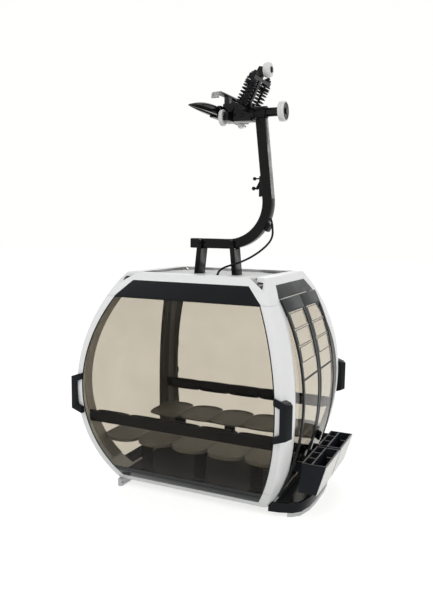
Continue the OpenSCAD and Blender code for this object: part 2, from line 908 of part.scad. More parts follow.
// Web of the grip: from the fixed jaw, between the running wheels, to the axle's bearing
module grip_frame() {
  seat_half = spring_r + 1;
  color([0.06, 0.06, 0.06]) hung() difference() {
    union() {
      block(jaw_reach + fit, frame_x1, -frame_half_y, frame_half_y, rope_z - 8, rope_z + 14);
      // seat below the two springs
      translate([spring_foot[0], 0, spring_foot[1]]) rotate([0, spring_lean, 0])
        block(-seat_half, seat_half, -spring_y - seat_half, spring_y + seat_half, -5, -0.2);
      // cross bar that carries the stub axles of the running wheels
      translate([run_wheel_x + 4, 0, 0]) rotate([90, 0, 90])
        linear_extrude(height = 5)
          polygon([
            [run_wheel_front_y - 5, run_wheel_front_z - 4], [0, rope_z - 8], [run_wheel_rear_y + 5, run_wheel_rear_z - 4],
            [run_wheel_rear_y + 5, run_wheel_rear_z + 5], [0, rope_z + 5], [run_wheel_front_y - 5, run_wheel_front_z + 6],
          ]);
      running_axle(run_wheel_front_y, run_wheel_front_z);
      running_axle(run_wheel_rear_y, run_wheel_rear_z);
      // bearing for the axle
      bar_x(frame_x1 - 1, head_x - head_w / 2 - 0.4, 0, axle_z, head_r + 1);
    }
    bar_x(axle_in_x, 100, 0, axle_z, axle_r + fit);
    // room for the clamp lever
    block(jaw_reach + 8, frame_x1 + 5, -lever_t / 2 - 0.3, lever_t / 2 + 0.3, axle_z + 7, axle_z + 40);
  }
}

module grip_axle() {
  color([0.08, 0.08, 0.08]) hung() {
    bar_x(axle_in_x, wheel_in_x - 0.4, 0, axle_z, axle_r);
    bar_x(wheel_in_x - 0.5, wheel_in_x + outer_wheel_w + 0.4, 0, axle_z, stub_r);
    bar_x(wheel_in_x + outer_wheel_w + 0.4, wheel_in_x + outer_wheel_w + 1.6, 0, axle_z, stub_r + 1.4);
  }
}

module outer_wheel_tyre() {
  color("whitesmoke") hung() difference() {
    bar_x(wheel_in_x, wheel_in_x + outer_wheel_w, 0, axle_z, outer_wheel_r);
    bar_x(wheel_in_x - 1, wheel_in_x + 2, 0, axle_z, 4);
    bar_x(wheel_in_x + 1.6, wheel_in_x + 20, 0, axle_z, outer_wheel_r - 1.6);
  }
}

module outer_wheel_disc() {
  color([0.3, 0.3, 0.3]) hung() difference() {
    bar_x(wheel_in_x + 1.6 + fit, wheel_in_x + outer_wheel_w + 0.2, 0, axle_z, outer_wheel_r - 1.6 - 0.02);
    bar_x(wheel_in_x, wheel_in_x + 20, 0, axle_z, stub_r + stub_gap);
  }
}

module running_axle(y, z) {
  bar_x(run_wheel_x - run_wheel_w / 2 - 0.8, run_wheel_x + 5, y, z, stub_r);
}

module running_wheel(y, z) {
  color("whitesmoke") hung() difference() {
    bar_x(run_wheel_x - run_wheel_w / 2, run_wheel_x + run_wheel_w / 2, y, z, run_wheel_r);
    bar_x(0, 40, y, z, stub_r + stub_gap);
    bar_x(run_wheel_x + run_wheel_w / 2 - 1, 40, y, z, run_wheel_r - 2.5);
  }
}

// Lever from the grip's web up between the springs to the roller
module clamp_lever() {
  color([0.06, 0.06, 0.06]) hung() {
    rotate([90, 0, 0])
      linear_extrude(height = lever_t, center = true)
        polygon([
          [20, axle_z + 7.4], [37, axle_z + 7.4], [45, 497], [54, 517], [roller_x - roller_w / 2 - 1, roller_z - 6],
          [roller_x - roller_w / 2 - 1, roller_z + 4], [roller_x - roller_w / 2 - 6, roller_z + 5], [45, 522], [28, 497],
        ]);
    bar_x(roller_x - roller_w / 2 - 2, roller_x + roller_w / 2 + 0.4, 0, roller_z, stub_r);
    bar_x(roller_x + roller_w / 2 + 0.4, roller_x + roller_w / 2 + 1.4, 0, roller_z, stub_r + 1);
  }
}

module lever_roller() {
  color("whitesmoke") hung() difference() {
    intersection() {
      bar_x(roller_x - roller_w / 2, roller_x + roller_w / 2, 0, roller_z, roller_r);
      translate([roller_x, 0, roller_z]) sphere(r = roller_r + 0.9, $fn = round_fn);
    }
    bar_x(roller_x - 20, roller_x + 20, 0, roller_z, stub_r + stub_gap);
  }
}

// Clamp spring: the outline of the coil
module clamp_spring(side) {
  color([0.08, 0.08, 0.08]) hung()
    translate([spring_foot[0], side * spring_y, spring_foot[1]])
      rotate([0, spring_lean, 0])
        difference() {
          cylinder(h = spring_len, r = spring_r, $fn = round_fn);
          translate([0, 0, -1]) cylinder(h = spring_len + 2, r = spring_r - 2, $fn = round_fn);
        }
}

rod_r = 3;

// Rods inside the springs, with the crosshead on top of them
module spring_rods() {
  color([0.07, 0.07, 0.07]) hung() difference() {
    translate([spring_foot[0], 0, spring_foot[1]]) rotate([0, spring_lean, 0]) {
      for (y = [-spring_y, spring_y]) {
        translate([0, y, -0.1]) cylinder(h = spring_len + 10, r = rod_r, $fn = round_fn);
        translate([0, y, spring_len + 0.1]) cylinder(h = 3, r = spring_r - 0.6, $fn = round_fn);
        translate([0, y, spring_len + 7]) cylinder(h = 3, r = 4.6, $fn = 6);
      }
      block(-4, 4, -spring_y - 5, spring_y + 5, spring_len + 3, spring_len + 7);
    }
    block(0, 100, -lever_t / 2 - 0.05, lever_t / 2 + 0.05, 500, 540);
  }
}

plate_x = 10;
plate_half_w = 5;
plate_front_y = -30;
plate_rear_y = 18;
plate_z = 502;
plate_t = 1.8;
plate_bend_r = 8;

// Friction plate along the rope, turned down at both ends, on its bracket
module friction_plate() {
  color([0.5, 0.5, 0.5]) hung() {
    block(plate_x - plate_half_w, plate_x + plate_half_w, plate_front_y, plate_rear_y, plate_z - plate_t, plate_z);
    for (side = [-1, 1])
      translate([plate_x - plate_half_w, side > 0 ? plate_rear_y : plate_front_y, plate_z - plate_bend_r])
        rotate([90, 0, 90])
          intersection() {
            difference() {
              cylinder(h = 2 * plate_half_w, r = plate_bend_r, $fn = round_fn);
              translate([0, 0, -1]) cylinder(h = 20, r = plate_bend_r - plate_t, $fn = round_fn);
            }
            block(side > 0 ? -0.1 : -10, side > 0 ? 10 : 0.1, -1, 10, -1, 11);
          }
    block(plate_x - 2, plate_x + 3, -6, 6, rope_z + 14.1, plate_z - plate_t + 0.2);
  }
}

// ---------------------------------------------------------------- the part

fixed_jaw();
moving_jaw();
tongue(-1);  // tongue_front
tongue(1);  // tongue_rear
grip_frame();
grip_axle();
clamp_lever();
clamp_spring(-1);  // spring_front
clamp_spring(1);  // spring_rear
spring_rods();
friction_plate();
outer_wheel_tyre();
outer_wheel_disc();
running_wheel(run_wheel_front_y, run_wheel_front_z);  // running_wheel_front
running_wheel(run_wheel_rear_y, run_wheel_rear_z);  // running_wheel_rear
lever_roller();
hanger_head();
hanger_arm();
hanger_posts();
release_lever();
cable_clamp();
door_cable();
cable_gland();
roof_cap();
roof_deck();
end_header(-1);  // header_front
end_header(1);  // header_rear
headers_side();
pillar(-1, -1);  // pillar_front_left
pillar(1, -1);  // pillar_front_right
pillar(-1, 1);  // pillar_rear_left
pillar(1, 1);  // pillar_rear_right
pillar_linings();
end_window(-1);  // window_front
end_window(1);  // window_rear
side_window();  // window_left
side_glass(-1);  // side_glass_front
side_glass(1);  // side_glass_rear
sill_strips();
bottom_frame();
floor_pan();
bench_at(-1);  // bench_front
bench_at(1);  // bench_rear
backrest_at(-1);  // backrest_front
backrest_at(1);  // backrest_rear
bumpers();
door_tray();
runners();
door_frame(-1);  // door_frame_front
door_glass(-1);  // door_glass_front
rack(-1);  // rack_front
rack_cover(-1);  // rack_cover_front
door_frame(1);  // door_frame_rear
door_glass(1);  // door_glass_rear
rack(1);  // rack_rear
rack_cover(1);  // rack_cover_rear
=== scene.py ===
# %% [markdown]
# # A cable car cabin, as a collector's model
#
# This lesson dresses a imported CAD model: a ten-seat gondola cabin with curved smoked windows, a bent
# hanger arm and a spring-loaded grip on top. The CAD nodes come in at their real size and never move.
# Where a node's shape is right it only gets a finish. Where the real piece has rounded edges, coils or
# pads, a new mesh is built on the same place and stands for the node.

# %% Load the frame
import json
import math
import random

import bmesh
import bpy
from mathutils import Matrix, Vector


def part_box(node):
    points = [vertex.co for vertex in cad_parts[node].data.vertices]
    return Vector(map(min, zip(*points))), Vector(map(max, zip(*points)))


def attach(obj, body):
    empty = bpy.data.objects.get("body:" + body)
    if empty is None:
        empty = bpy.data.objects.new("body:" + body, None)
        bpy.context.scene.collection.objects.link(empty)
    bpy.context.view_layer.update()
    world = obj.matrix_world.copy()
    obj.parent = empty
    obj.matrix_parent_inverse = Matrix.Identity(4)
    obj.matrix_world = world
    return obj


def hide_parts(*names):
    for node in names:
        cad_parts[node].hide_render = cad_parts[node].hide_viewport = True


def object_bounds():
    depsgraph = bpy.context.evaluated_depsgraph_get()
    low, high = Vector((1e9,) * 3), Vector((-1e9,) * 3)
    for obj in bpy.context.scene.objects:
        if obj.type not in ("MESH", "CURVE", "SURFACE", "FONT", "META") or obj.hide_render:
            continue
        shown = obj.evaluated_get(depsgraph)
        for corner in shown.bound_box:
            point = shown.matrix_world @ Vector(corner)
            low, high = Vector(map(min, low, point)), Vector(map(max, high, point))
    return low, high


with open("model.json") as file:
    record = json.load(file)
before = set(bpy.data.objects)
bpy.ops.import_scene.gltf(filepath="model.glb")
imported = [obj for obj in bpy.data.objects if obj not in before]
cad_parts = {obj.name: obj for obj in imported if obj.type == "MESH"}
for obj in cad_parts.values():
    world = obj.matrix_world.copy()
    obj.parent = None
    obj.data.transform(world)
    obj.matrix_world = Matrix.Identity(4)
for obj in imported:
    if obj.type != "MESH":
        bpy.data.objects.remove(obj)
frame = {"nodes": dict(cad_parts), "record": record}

CAD_LOW, CAD_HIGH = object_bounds()
record = frame["record"]
print("CAD box in metres:", [round(v, 4) for v in (CAD_HIGH - CAD_LOW)], "nodes:", len(frame["nodes"]))

# %% [markdown]
# ## Measuring from the ground
#
# The frame's origin sits high up, on the rope that the grip closes on. A cabin is easier to think about in
# millimetres above the ground, so one small function turns those into the frame's metres. The ground is
# the lowest point of the CAD model, the underside of its runners.

# %% Millimetres above the ground
MM = 0.001
GROUND = CAD_LOW.z


def at(x, y, z):
    """A point in the frame, from millimetres across, along and above the ground."""
    return Vector((x * MM, y * MM, GROUND + z * MM))


def height(point):
    """How far a point of the frame lies above the ground, in millimetres."""
    return (point.z - GROUND) / MM


print("the rope is", round(height(Vector((0, 0, 0))), 1), "mm above the ground")

# %% [markdown]
# ## The camera
#
# The cabin is seen from its door-side front corner, a little above the middle of its windows. The lens
# is a mild wide angle held quite close, which is why the near bumper looks larger than the far one. The
# camera comes first.

# %% Camera
SENSOR, LENS = 36, 37.29
CAMERA_SPOT = (343.7, -750.4, 340.3)
TURN, LOOK_DOWN, ROLL = 24.71, 7.17, 0.77

camera_data = bpy.data.cameras.new("camera")
camera_data.sensor_width = SENSOR
camera_data.lens = LENS
camera = bpy.data.objects.new("camera", camera_data)
turn, tilt, roll = (math.radians(angle) for angle in (TURN, 90 - LOOK_DOWN, ROLL))
aim = Matrix.Rotation(turn, 4, "Z") @ Matrix.Rotation(tilt, 4, "X") @ Matrix.Rotation(roll, 4, "Z")
camera.matrix_world = Matrix.Translation(at(*CAMERA_SPOT)) @ aim
bpy.context.scene.collection.objects.link(camera)
bpy.context.scene.camera = camera
print("camera at", [round(v, 3) for v in camera.matrix_world.translation])

# %% [markdown]
# ## Finishes, from one recipe
#
# Nearly everything on the model is moulded plastic or lacquered metal. Such surfaces are never one flat
# colour: the gloss changes a little from place to place, and the skin has a faint grain. One function
# makes that from procedural noise. The noise reads object coordinates, so it sits on the piece and
# travels with it. Numbers that are the same all over are set on the shader's own sockets.

# %% Node helpers
def add_node(material, kind, inputs=None, **settings):
    """Adds a shader node; an input that is a socket becomes a link, anything else a value."""
    made = material.node_tree.nodes.new(kind)
    for name, value in settings.items():
        setattr(made, name, value)
    for name, value in (inputs or {}).items():
        if isinstance(value, bpy.types.NodeSocket):
            material.node_tree.links.new(value, made.inputs[name])
        else:
            made.inputs[name].default_value = value
    return made


def link(material, source, target):
    material.node_tree.links.new(source, target)


def noise(material, place, scale, detail=3.0, rough=0.55):
    return add_node(material, "ShaderNodeTexNoise",
                    {"Vector": place, "Scale": scale, "Detail": detail, "Roughness": rough}).outputs["Fac"]


def spread(material, value, low, high, start=0.3, end=0.7):
    """Stretches a noise value from start..end to low..high."""
    stretch = {"Value": value, "From Min": start, "From Max": end, "To Min": low, "To Max": high}
    return add_node(material, "ShaderNodeMapRange", stretch).outputs["Result"]


def blend_colours(material, share, first, second):
    mix = add_node(material, "ShaderNodeMix", data_type="RGBA")
    for index, value in ((6, first), (7, second)):
        if isinstance(value, bpy.types.NodeSocket):
            link(material, value, mix.inputs[index])
        else:
            mix.inputs[index].default_value = (*value[:3], 1)
    link(material, share, mix.inputs[0])
    return mix.outputs[2]


def math_node(material, operation, first, second):
    return add_node(material, "ShaderNodeMath", {0: first, 1: second}, operation=operation).outputs[0]


def axes(material, vector):
    """The X, Y and Z sockets of a vector."""
    return add_node(material, "ShaderNodeSeparateXYZ", {"Vector": vector}).outputs


def mix_shaders(material, share, first, second):
    mixed = add_node(material, "ShaderNodeMixShader", {0: share})
    link(material, first, mixed.inputs[1])
    link(material, second, mixed.inputs[2])
    return mixed.outputs["Shader"]


print("node helpers ready")

# %% The recipe for moulded and lacquered surfaces
GRAIN_STRENGTH = 0.35
finishes = {}


def finish(name, colour, gloss, metallic=0.0, mottle=0.12, cloud=45, grain=900, depth=0.02, specular=0.5):
    """gloss is the roughness of the dull and the shiny places; grain and cloud are noise scales."""
    material = bpy.data.materials.new(name)
    material.use_nodes = True
    shader = material.node_tree.nodes["Principled BSDF"]
    place = add_node(material, "ShaderNodeTexCoord").outputs["Object"]
    clouds = noise(material, place, cloud)
    fine = noise(material, place, grain, 2.0)
    darker = [c * (1 - mottle) for c in colour]
    tint = blend_colours(material, spread(material, clouds, 0, 1), darker, colour)
    link(material, tint, shader.inputs["Base Color"])
    link(material, spread(material, clouds, gloss[1], gloss[0]), shader.inputs["Roughness"])
    skin_grain = {"Height": fine, "Strength": GRAIN_STRENGTH, "Distance": depth * MM}
    bump = add_node(material, "ShaderNodeBump", skin_grain)
    link(material, bump.outputs["Normal"], shader.inputs["Normal"])
    shader.inputs["Metallic"].default_value = metallic
    shader.inputs["Specular IOR Level"].default_value = specular
    material["place"] = place.node.name
    finishes[name] = material


def parts_of(material):
    """The shader, the coordinates and the colour that reaches the shader, for a finish that goes on."""
    shader = material.node_tree.nodes["Principled BSDF"]
    place = material.node_tree.nodes[material["place"]].outputs["Object"]
    return shader, place, shader.inputs["Base Color"].links[0].from_socket


finish("white_shell", (0.87, 0.88, 0.875), (0.36, 0.28), mottle=0.02, depth=0.012)
finish("roof_grey", (0.01, 0.01, 0.011), (0.42, 0.32), mottle=0.1, depth=0.05)
finish("gloss_black", (0.004, 0.0055, 0.008), (0.2, 0.1), mottle=0.3, cloud=30, specular=0.16)
finish("door_black", (0.024, 0.026, 0.028), (0.45, 0.32), mottle=0.25, depth=0.04, specular=0.14)
finish("lining_grey", (0.052, 0.048, 0.042), (0.5, 0.36), mottle=0.25, depth=0.05, specular=0.08)
finish("floor_black", (0.018, 0.018, 0.019), (0.6, 0.45), mottle=0.3, depth=0.08, specular=0.06)
finish("seat_brown", (0.13, 0.123, 0.108), (0.42, 0.3), mottle=0.2, depth=0.06, specular=0.08)
finish("back_pad", (0.013, 0.013, 0.014), (0.5, 0.35), mottle=0.25, depth=0.1, grain=1400, specular=0.08)
finish("bumper_black", (0.009, 0.011, 0.014), (0.36, 0.25), mottle=0.3, depth=0.05, specular=0.12)
finish("rack_black", (0.012, 0.014, 0.019), (0.42, 0.3), mottle=0.3, depth=0.05, specular=0.12)
finish("silver_runner", (0.5, 0.51, 0.51), (0.38, 0.26), metallic=0.6, mottle=0.12)
finish("silver_cover", (0.78, 0.78, 0.76), (0.4, 0.3), mottle=0.04)
finish("white_nylon", (0.78, 0.78, 0.77), (0.42, 0.3), mottle=0.06, depth=0.04)
finish("grey_disc", (0.075, 0.075, 0.076), (0.5, 0.38), metallic=0.3, mottle=0.3, specular=0.2)
finish("spring_steel", (0.014, 0.014, 0.015), (0.32, 0.2), metallic=0.4, mottle=0.3, specular=0.15)
finish("bright_steel", (0.5, 0.5, 0.48), (0.42, 0.18), metallic=0.9, mottle=0.45, cloud=120)
finish("black_metal", (0.007, 0.007, 0.008), (0.2, 0.08), mottle=0.3, cloud=70, specular=0.2)
finish("hanger_paint", (0.008, 0.008, 0.008), (0.3, 0.16), mottle=0.35, cloud=60, specular=0.13)
finish("black_rubber", (0.01, 0.01, 0.011), (0.55, 0.4), mottle=0.3, depth=0.06, specular=0.12)
finish("screw_steel", (0.05, 0.05, 0.052), (0.35, 0.2), metallic=0.8, mottle=0.3)
print(len(finishes), "finishes from the recipe")

# %% [markdown]
# ## Worn metal, grey tops, and painted shade and light inside
#
# A few finishes need one thing more. The friction plate is dark steel that has been rubbed bright, the
# roof deck is grey on top and the ski racks have grey top edges. Inside, painted shade darkens the shell
# where it faces into the rear half of the cabin, and painted light makes the front linings pale. Each of
# these is a mask made from noise, from a place on the piece or from the way a surface faces, and it
# mixes a second colour into the recipe's own.

# %% Bright rubs on the friction plate
RUBBED_FROM = -24


def rub_bright(material, from_y, dark=(0.006, 0.006, 0.006)):
    """Bare metal with dark flecks in front of from_y, in millimetres along; blackened behind it."""
    shader, place, colour = parts_of(material)
    y = axes(material, place)["Y"]
    wobble = spread(material, noise(material, place, 300, 4.0, 0.7), -6 * MM, 6 * MM)
    bare = math_node(material, "LESS_THAN", math_node(material, "ADD", y, wobble), from_y * MM)
    flecks = spread(material, noise(material, place, 420, 5.0, 0.7), 0, 1, 0.4, 0.46)
    share = math_node(material, "MULTIPLY", bare, flecks)
    link(material, blend_colours(material, share, dark, colour), shader.inputs["Base Color"])
    link(material, share, shader.inputs["Metallic"])


rub_bright(finishes["bright_steel"], RUBBED_FROM)
print("friction plate bright in front of", RUBBED_FROM, "mm")


# %% A colour above one level
FACES_UP = 0.7


def above_level(material, level_mm, colour, only_up=False):
    """Paints colour where the surface lies higher than level_mm above the ground."""
    shader, place, base = parts_of(material)
    mask = math_node(material, "GREATER_THAN", axes(material, place)["Z"], at(0, 0, level_mm).z)
    if only_up:
        up = axes(material, add_node(material, "ShaderNodeNewGeometry").outputs["Normal"])["Z"]
        mask = math_node(material, "MULTIPLY", mask, math_node(material, "GREATER_THAN", up, FACES_UP))
    link(material, blend_colours(material, mask, base, colour), shader.inputs["Base Color"])


ROOF_GREY, ROOF_TOP = (0.5, 0.51, 0.5), 271.8
above_level(finishes["roof_grey"], ROOF_TOP, ROOF_GREY)
RIM_GREY, RIM_LEVEL = (0.16, 0.165, 0.17), height(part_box("rack_front")[1]) - 1
above_level(finishes["rack_black"], RIM_LEVEL, RIM_GREY, only_up=True)
print("rack rims turn grey above", round(RIM_LEVEL, 1), "mm")


# %% Painted shade inside the rear pillars, and painted light on the front linings
FACES_IN, INSIDE_TOP = -0.012, 268


def shade_facing_in(material, dark):
    """Paints dark where a surface of the rear half looks towards the middle of the cabin: painted shade
    inside the shell.
    """
    shader, place, colour = parts_of(material)
    spot = axes(material, place)
    way = axes(material, add_node(material, "ShaderNodeNewGeometry").outputs["True Normal"])
    outward = math_node(material, "ADD", math_node(material, "MULTIPLY", spot["X"], way["X"]),
                        math_node(material, "MULTIPLY", spot["Y"], way["Y"]))
    inside = math_node(material, "LESS_THAN", outward, FACES_IN)
    below_roof = math_node(material, "LESS_THAN", spot["Z"], at(0, 0, INSIDE_TOP).z)
    rear = math_node(material, "GREATER_THAN", spot["Y"], 0.0)
    share = math_node(material, "MULTIPLY", inside, math_node(material, "MULTIPLY", below_roof, rear))
    link(material, blend_colours(material, share, colour, dark), shader.inputs["Base Color"])


def light_in_front_half(material, pale):
    """Paints pale where a surface lies in the front half: painted light on the front linings."""
    shader, place, colour = parts_of(material)
    y = axes(material, place)["Y"]
    share = math_node(material, "LESS_THAN", y, 0.0)
    link(material, blend_colours(material, share, colour, pale), shader.inputs["Base Color"])


# Painted shade: the rear half of the shell turns dark where it faces into the cabin.
shade_facing_in(finishes["white_shell"], (0.05, 0.046, 0.04))
# Painted light: the front linings turn pale, while the same linings behind stay dark grey.
light_in_front_half(finishes["lining_grey"], (0.42, 0.4, 0.37))
print("rear pillars dark inside, front linings pale")

# %% [markdown]
# ## Smoked windows
#
# The panes are clear plastic with a warm smoke tint. In a path tracer, real glass blocks the lamps and
# leaves the cabin dark, so rays that come from lamps pass through a plain tinted Transparent shader
# instead. The eye sees the true glass, with a little waviness and a few rubbed places. A thin pane
# hardly shifts what is behind it, so a low index of refraction serves, and it keeps four faces of
# glass from veiling the dark seats with reflections.

# %% Smoked glass
SMOKE = (0.73, 0.695, 0.63)
PANE_IOR = 1.12
WAVE_SIZE, WAVE_STRENGTH, WAVE_DEPTH = 22, 0.1, 0.02
RUB_SIZE, RUB_ROUGH = 60, 0.035


def smoked(name, tint):
    material = bpy.data.materials.new(name)
    material.use_nodes = True
    shader = material.node_tree.nodes["Principled BSDF"]
    place = add_node(material, "ShaderNodeTexCoord").outputs["Object"]
    streaks = noise(material, place, WAVE_SIZE)
    colour = blend_colours(material, spread(material, streaks, 0, 1), [c * 0.95 for c in tint], tint)
    link(material, colour, shader.inputs["Base Color"])
    rubs = spread(material, noise(material, place, RUB_SIZE), 0.0, RUB_ROUGH)
    link(material, rubs, shader.inputs["Roughness"])
    bump = add_node(material, "ShaderNodeBump",
                    {"Height": streaks, "Strength": WAVE_STRENGTH, "Distance": WAVE_DEPTH * MM})
    link(material, bump.outputs["Normal"], shader.inputs["Normal"])
    shader.inputs["Transmission Weight"].default_value = 1.0
    shader.inputs["IOR"].default_value = PANE_IOR
    lamp_ray = add_node(material, "ShaderNodeLightPath").outputs["Is Shadow Ray"]
    clear = add_node(material, "ShaderNodeBsdfTransparent", {"Color": (*tint, 1)}).outputs["BSDF"]
    mixed = mix_shaders(material, lamp_ray, shader.outputs["BSDF"], clear)
    link(material, mixed, material.node_tree.nodes["Material Output"].inputs["Surface"])
    return material


finishes["smoked_glass"] = smoked("smoked_glass", SMOKE)
print("glass tint per pane", SMOKE)

# %% [markdown]
# ## Dressing the CAD nodes
#
# The record says which finish each node has, so a loop over it dresses the whole model. Pieces that are
# built later on take their node's place with the same finish. The dark trim inside the pillars shares
# its slot with the doors but is a warmer grey, so it gets a finish of its own.

# %% Dress every node
slot_of = {row["node"]: row["material_slot"] for row in record["subparts"]}
body_of = {node: body for body, nodes in record["behaviour"]["bodies"].items() for node in nodes}
own_finish = {"pillar_linings": "lining_grey"}


def finish_name_of(node):
    return own_finish.get(node, slot_of[node])


def dress(thing, material):
    if not thing.material_slots:
        thing.data.materials.append(material)
    for place in thing.material_slots:
        place.material = material


for node_name, node_object in frame["nodes"].items():
    dress(node_object, finishes[finish_name_of(node_name)])
print("dressed", len(slot_of), "nodes in", len(set(slot_of.values())), "finishes")

# %% [markdown]
# ## New pieces
#
# Every new piece needs the same four things: a mesh, a finish, a body to ride on and, often, the node it
# stands for. One function does that. Smooth shading with a sharp-edge limit keeps flat faces flat while
# round ones look round.

# %% Make a piece
def make_piece(name, mesh, finish_name, body, stands_for=(), sharp=32):
    """Turns a bmesh into an object that rides on a body; its slot holds its finish."""
    bmesh.ops.recalc_face_normals(mesh, faces=mesh.faces)
    data = bpy.data.meshes.new(name)
    mesh.to_mesh(data)
    mesh.free()
    data.shade_smooth()
    data.set_sharp_from_angle(angle=math.radians(sharp))
    data.materials.append(finishes[finish_name])
    piece = bpy.data.objects.new(name, data)
    bpy.context.scene.collection.objects.link(piece)
    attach(piece, body)
    if stands_for:
        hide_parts(*stands_for)
    return piece


print("new pieces take one of", len(finishes), "finishes")

# %% [markdown]
# ## The door cable
#
# A thin black cable leaves a clamp on the hanger's bend, sags past the front post and enters a gland in
# the roof. It is held at both ends, so it keeps its length. A curve through listed points, with a
# round bevel, is the natural way to make it. The points are joined by the same smooth spline as in CAD.

# %% Cable route
CABLE_R = 1.3
cable_points = [
    (71.4, 0, 349.5), (73.2, -1, 345), (75.4, -4, 337.5), (77, -8, 330), (76, -12, 323),
    (71.5, -16, 315.8), (63.5, -19, 308.4), (53.5, -22, 301.5), (42.5, -24, 296), (31.5, -26, 292),
    (22.5, -27.5, 288.8), (16.5, -28, 285.4), (13, -28, 281.2), (12, -28, 277.5), (12, -28, 274.4),
]


def smooth_line(points, steps):
    """Points of a Catmull-Rom spline through the given points."""
    points = [Vector(p) for p in points]
    last = len(points) - 1
    line = []
    for i in range(last):
        a, b, c, d = (points[max(0, min(last, i + k))] for k in (-1, 0, 1, 2))
        for s in range(steps):
            t = s / steps
            line.append(0.5 * (2 * b + (c - a) * t + (2 * a - 5 * b + 4 * c - d) * t * t
                               + (3 * b - a - 3 * c + d) * t ** 3))
    return line + [points[last]]


cable_line = [at(*p) for p in smooth_line(cable_points, 4)]


# %% Tubes along a line
def tube_curve(name, lines, radius, finish_name, body, closed=False, sides=6):
    """A round tube along each line of points, as one curve object."""
    curve = bpy.data.curves.new(name, "CURVE")
    curve.dimensions = "3D"
    curve.bevel_depth = radius
    curve.bevel_resolution = sides // 2 - 1
    curve.use_fill_caps = True
    for line in lines:
        spline = curve.splines.new("POLY")
        spline.points.add(len(line) - 1)
        for point, spot in zip(spline.points, line):
            point.co = (*spot, 1)
        spline.use_cyclic_u = closed
    curve.materials.append(finishes[finish_name])
    piece = bpy.data.objects.new(name, curve)
    bpy.context.scene.collection.objects.link(piece)
    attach(piece, body)
    return piece


cable = tube_curve("door_cable_run", [cable_line], CABLE_R * MM, "black_rubber", "cabin", sides=16)
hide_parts("door_cable")

# %% [markdown]
# ## Floor, backdrop and lamps
#
# The model stands in a bright, even studio. The world is white to the eye, in reflections and through
# glass, and a little dimmer as a light. Black lacquer would turn grey in so white a room, so the black
# finishes above have a low specular level. The floor is pale and mixes a share of plain white into what
# is seen, so it melts into the backdrop but still holds the soft shadow under the cabin.

# %% Floor
FLOOR_SIZE, FLOOR_GAP = 6.0, 0.0002
FLOOR_GLOW, GLOW_SHARE = 1.56, 0.5
WHITE = (1.0, 0.998, 0.985, 1)

floor_mesh = bpy.data.meshes.new("floor")
sheet = ((-1, -1), (1, -1), (1, 1), (-1, 1))
corners = [(x * FLOOR_SIZE, y * FLOOR_SIZE, GROUND - FLOOR_GAP) for x, y in sheet]
floor_mesh.from_pydata(corners, [], [(0, 1, 2, 3)])
floor = bpy.data.objects.new("floor", floor_mesh)
bpy.context.scene.collection.objects.link(floor)


def seen_white(material):
    """1 for rays from the eye, from a reflection or through glass, which all see the white surround."""
    path = add_node(material, "ShaderNodeLightPath").outputs
    mirrored = math_node(material, "MAXIMUM", path["Is Glossy Ray"], path["Is Transmission Ray"])
    return math_node(material, "MAXIMUM", path["Is Camera Ray"], mirrored)


floor_finish = bpy.data.materials.new("floor_pale")
floor_finish.use_nodes = True
floor_shader = floor_finish.node_tree.nodes["Principled BSDF"]
floor_shader.inputs["Base Color"].default_value = (0.82, 0.82, 0.81, 1)
floor_shader.inputs["Roughness"].default_value = 0.9
floor_shader.inputs["Specular IOR Level"].default_value = 0.1
floor_glow = add_node(floor_finish, "ShaderNodeEmission", {"Color": WHITE, "Strength": FLOOR_GLOW}).outputs[0]
floor_share = math_node(floor_finish, "MULTIPLY", seen_white(floor_finish), GLOW_SHARE)
floor_top = mix_shaders(floor_finish, floor_share, floor_shader.outputs["BSDF"], floor_glow)
under_side = add_node(floor_finish, "ShaderNodeNewGeometry").outputs["Backfacing"]
see_through = add_node(floor_finish, "ShaderNodeBsdfTransparent").outputs[0]
floor_all = mix_shaders(floor_finish, under_side, floor_top, see_through)
link(floor_finish, floor_all, floor_finish.node_tree.nodes["Material Output"].inputs["Surface"])
floor.data.materials.append(floor_finish)
print("floor", 2 * FLOOR_SIZE, "m wide")

# %% World
WORLD_LIGHT = 0.6
bpy.context.scene.view_settings.view_transform = "Standard"
world = bpy.data.worlds.new("studio")
bpy.context.scene.world = world
world.use_nodes = True
world_output = world.node_tree.nodes["World Output"]
world_light = world.node_tree.nodes["Background"]
world_light.inputs["Color"].default_value = (1, 1, 1, 1)
world_light.inputs["Strength"].default_value = WORLD_LIGHT
world_seen = add_node(world, "ShaderNodeBackground", {"Color": WHITE, "Strength": 1.0}).outputs[0]
world_all = mix_shaders(world, seen_white(world), world_light.outputs[0], world_seen)
link(world, world_all, world_output.inputs["Surface"])
print("world light", WORLD_LIGHT)


# %% Lamps
def softbox(name, place, target, size, power, mirrored=True):
    data = bpy.data.lights.new(name, "AREA")
    data.shape = "RECTANGLE"
    data.size, data.size_y = size
    data.energy = power
    lamp = bpy.data.objects.new(name, data)
    bpy.context.scene.collection.objects.link(lamp)
    lamp.visible_glossy = mirrored
    facing = (place - target).to_track_quat("Z", "Y").to_matrix().to_4x4()
    lamp.matrix_world = Matrix.Translation(place) @ facing
    return lamp


MIDDLE = at(0, 0, 200)
softbox("key_lamp", at(-500, -1100, 1300), MIDDLE, (0.9, 0.7), 6, mirrored=False)
softbox("side_lamp", at(1400, -300, 700), MIDDLE, (0.7, 0.9), 4, mirrored=False)
softbox("back_lamp", at(-300, 1300, 1100), MIDDLE, (1.0, 0.6), 3.5)
print("three soft lamps round the cabin")

# %% [markdown]
# ## Rounding what was moulded
#
# CAD edges are knife sharp, and nothing moulded or bent is. The easiest honest way is to copy a node's
# own mesh, join its doubled corners, merge its flat faces and bevel only the edges that really turn a
# corner. The bevel only takes material away, so the copy stays inside the node's own box.

# %% Rounded copies
SAME_POINT, FLAT_ANGLE, CORNER_ANGLE = 0.004, 0.4, 35


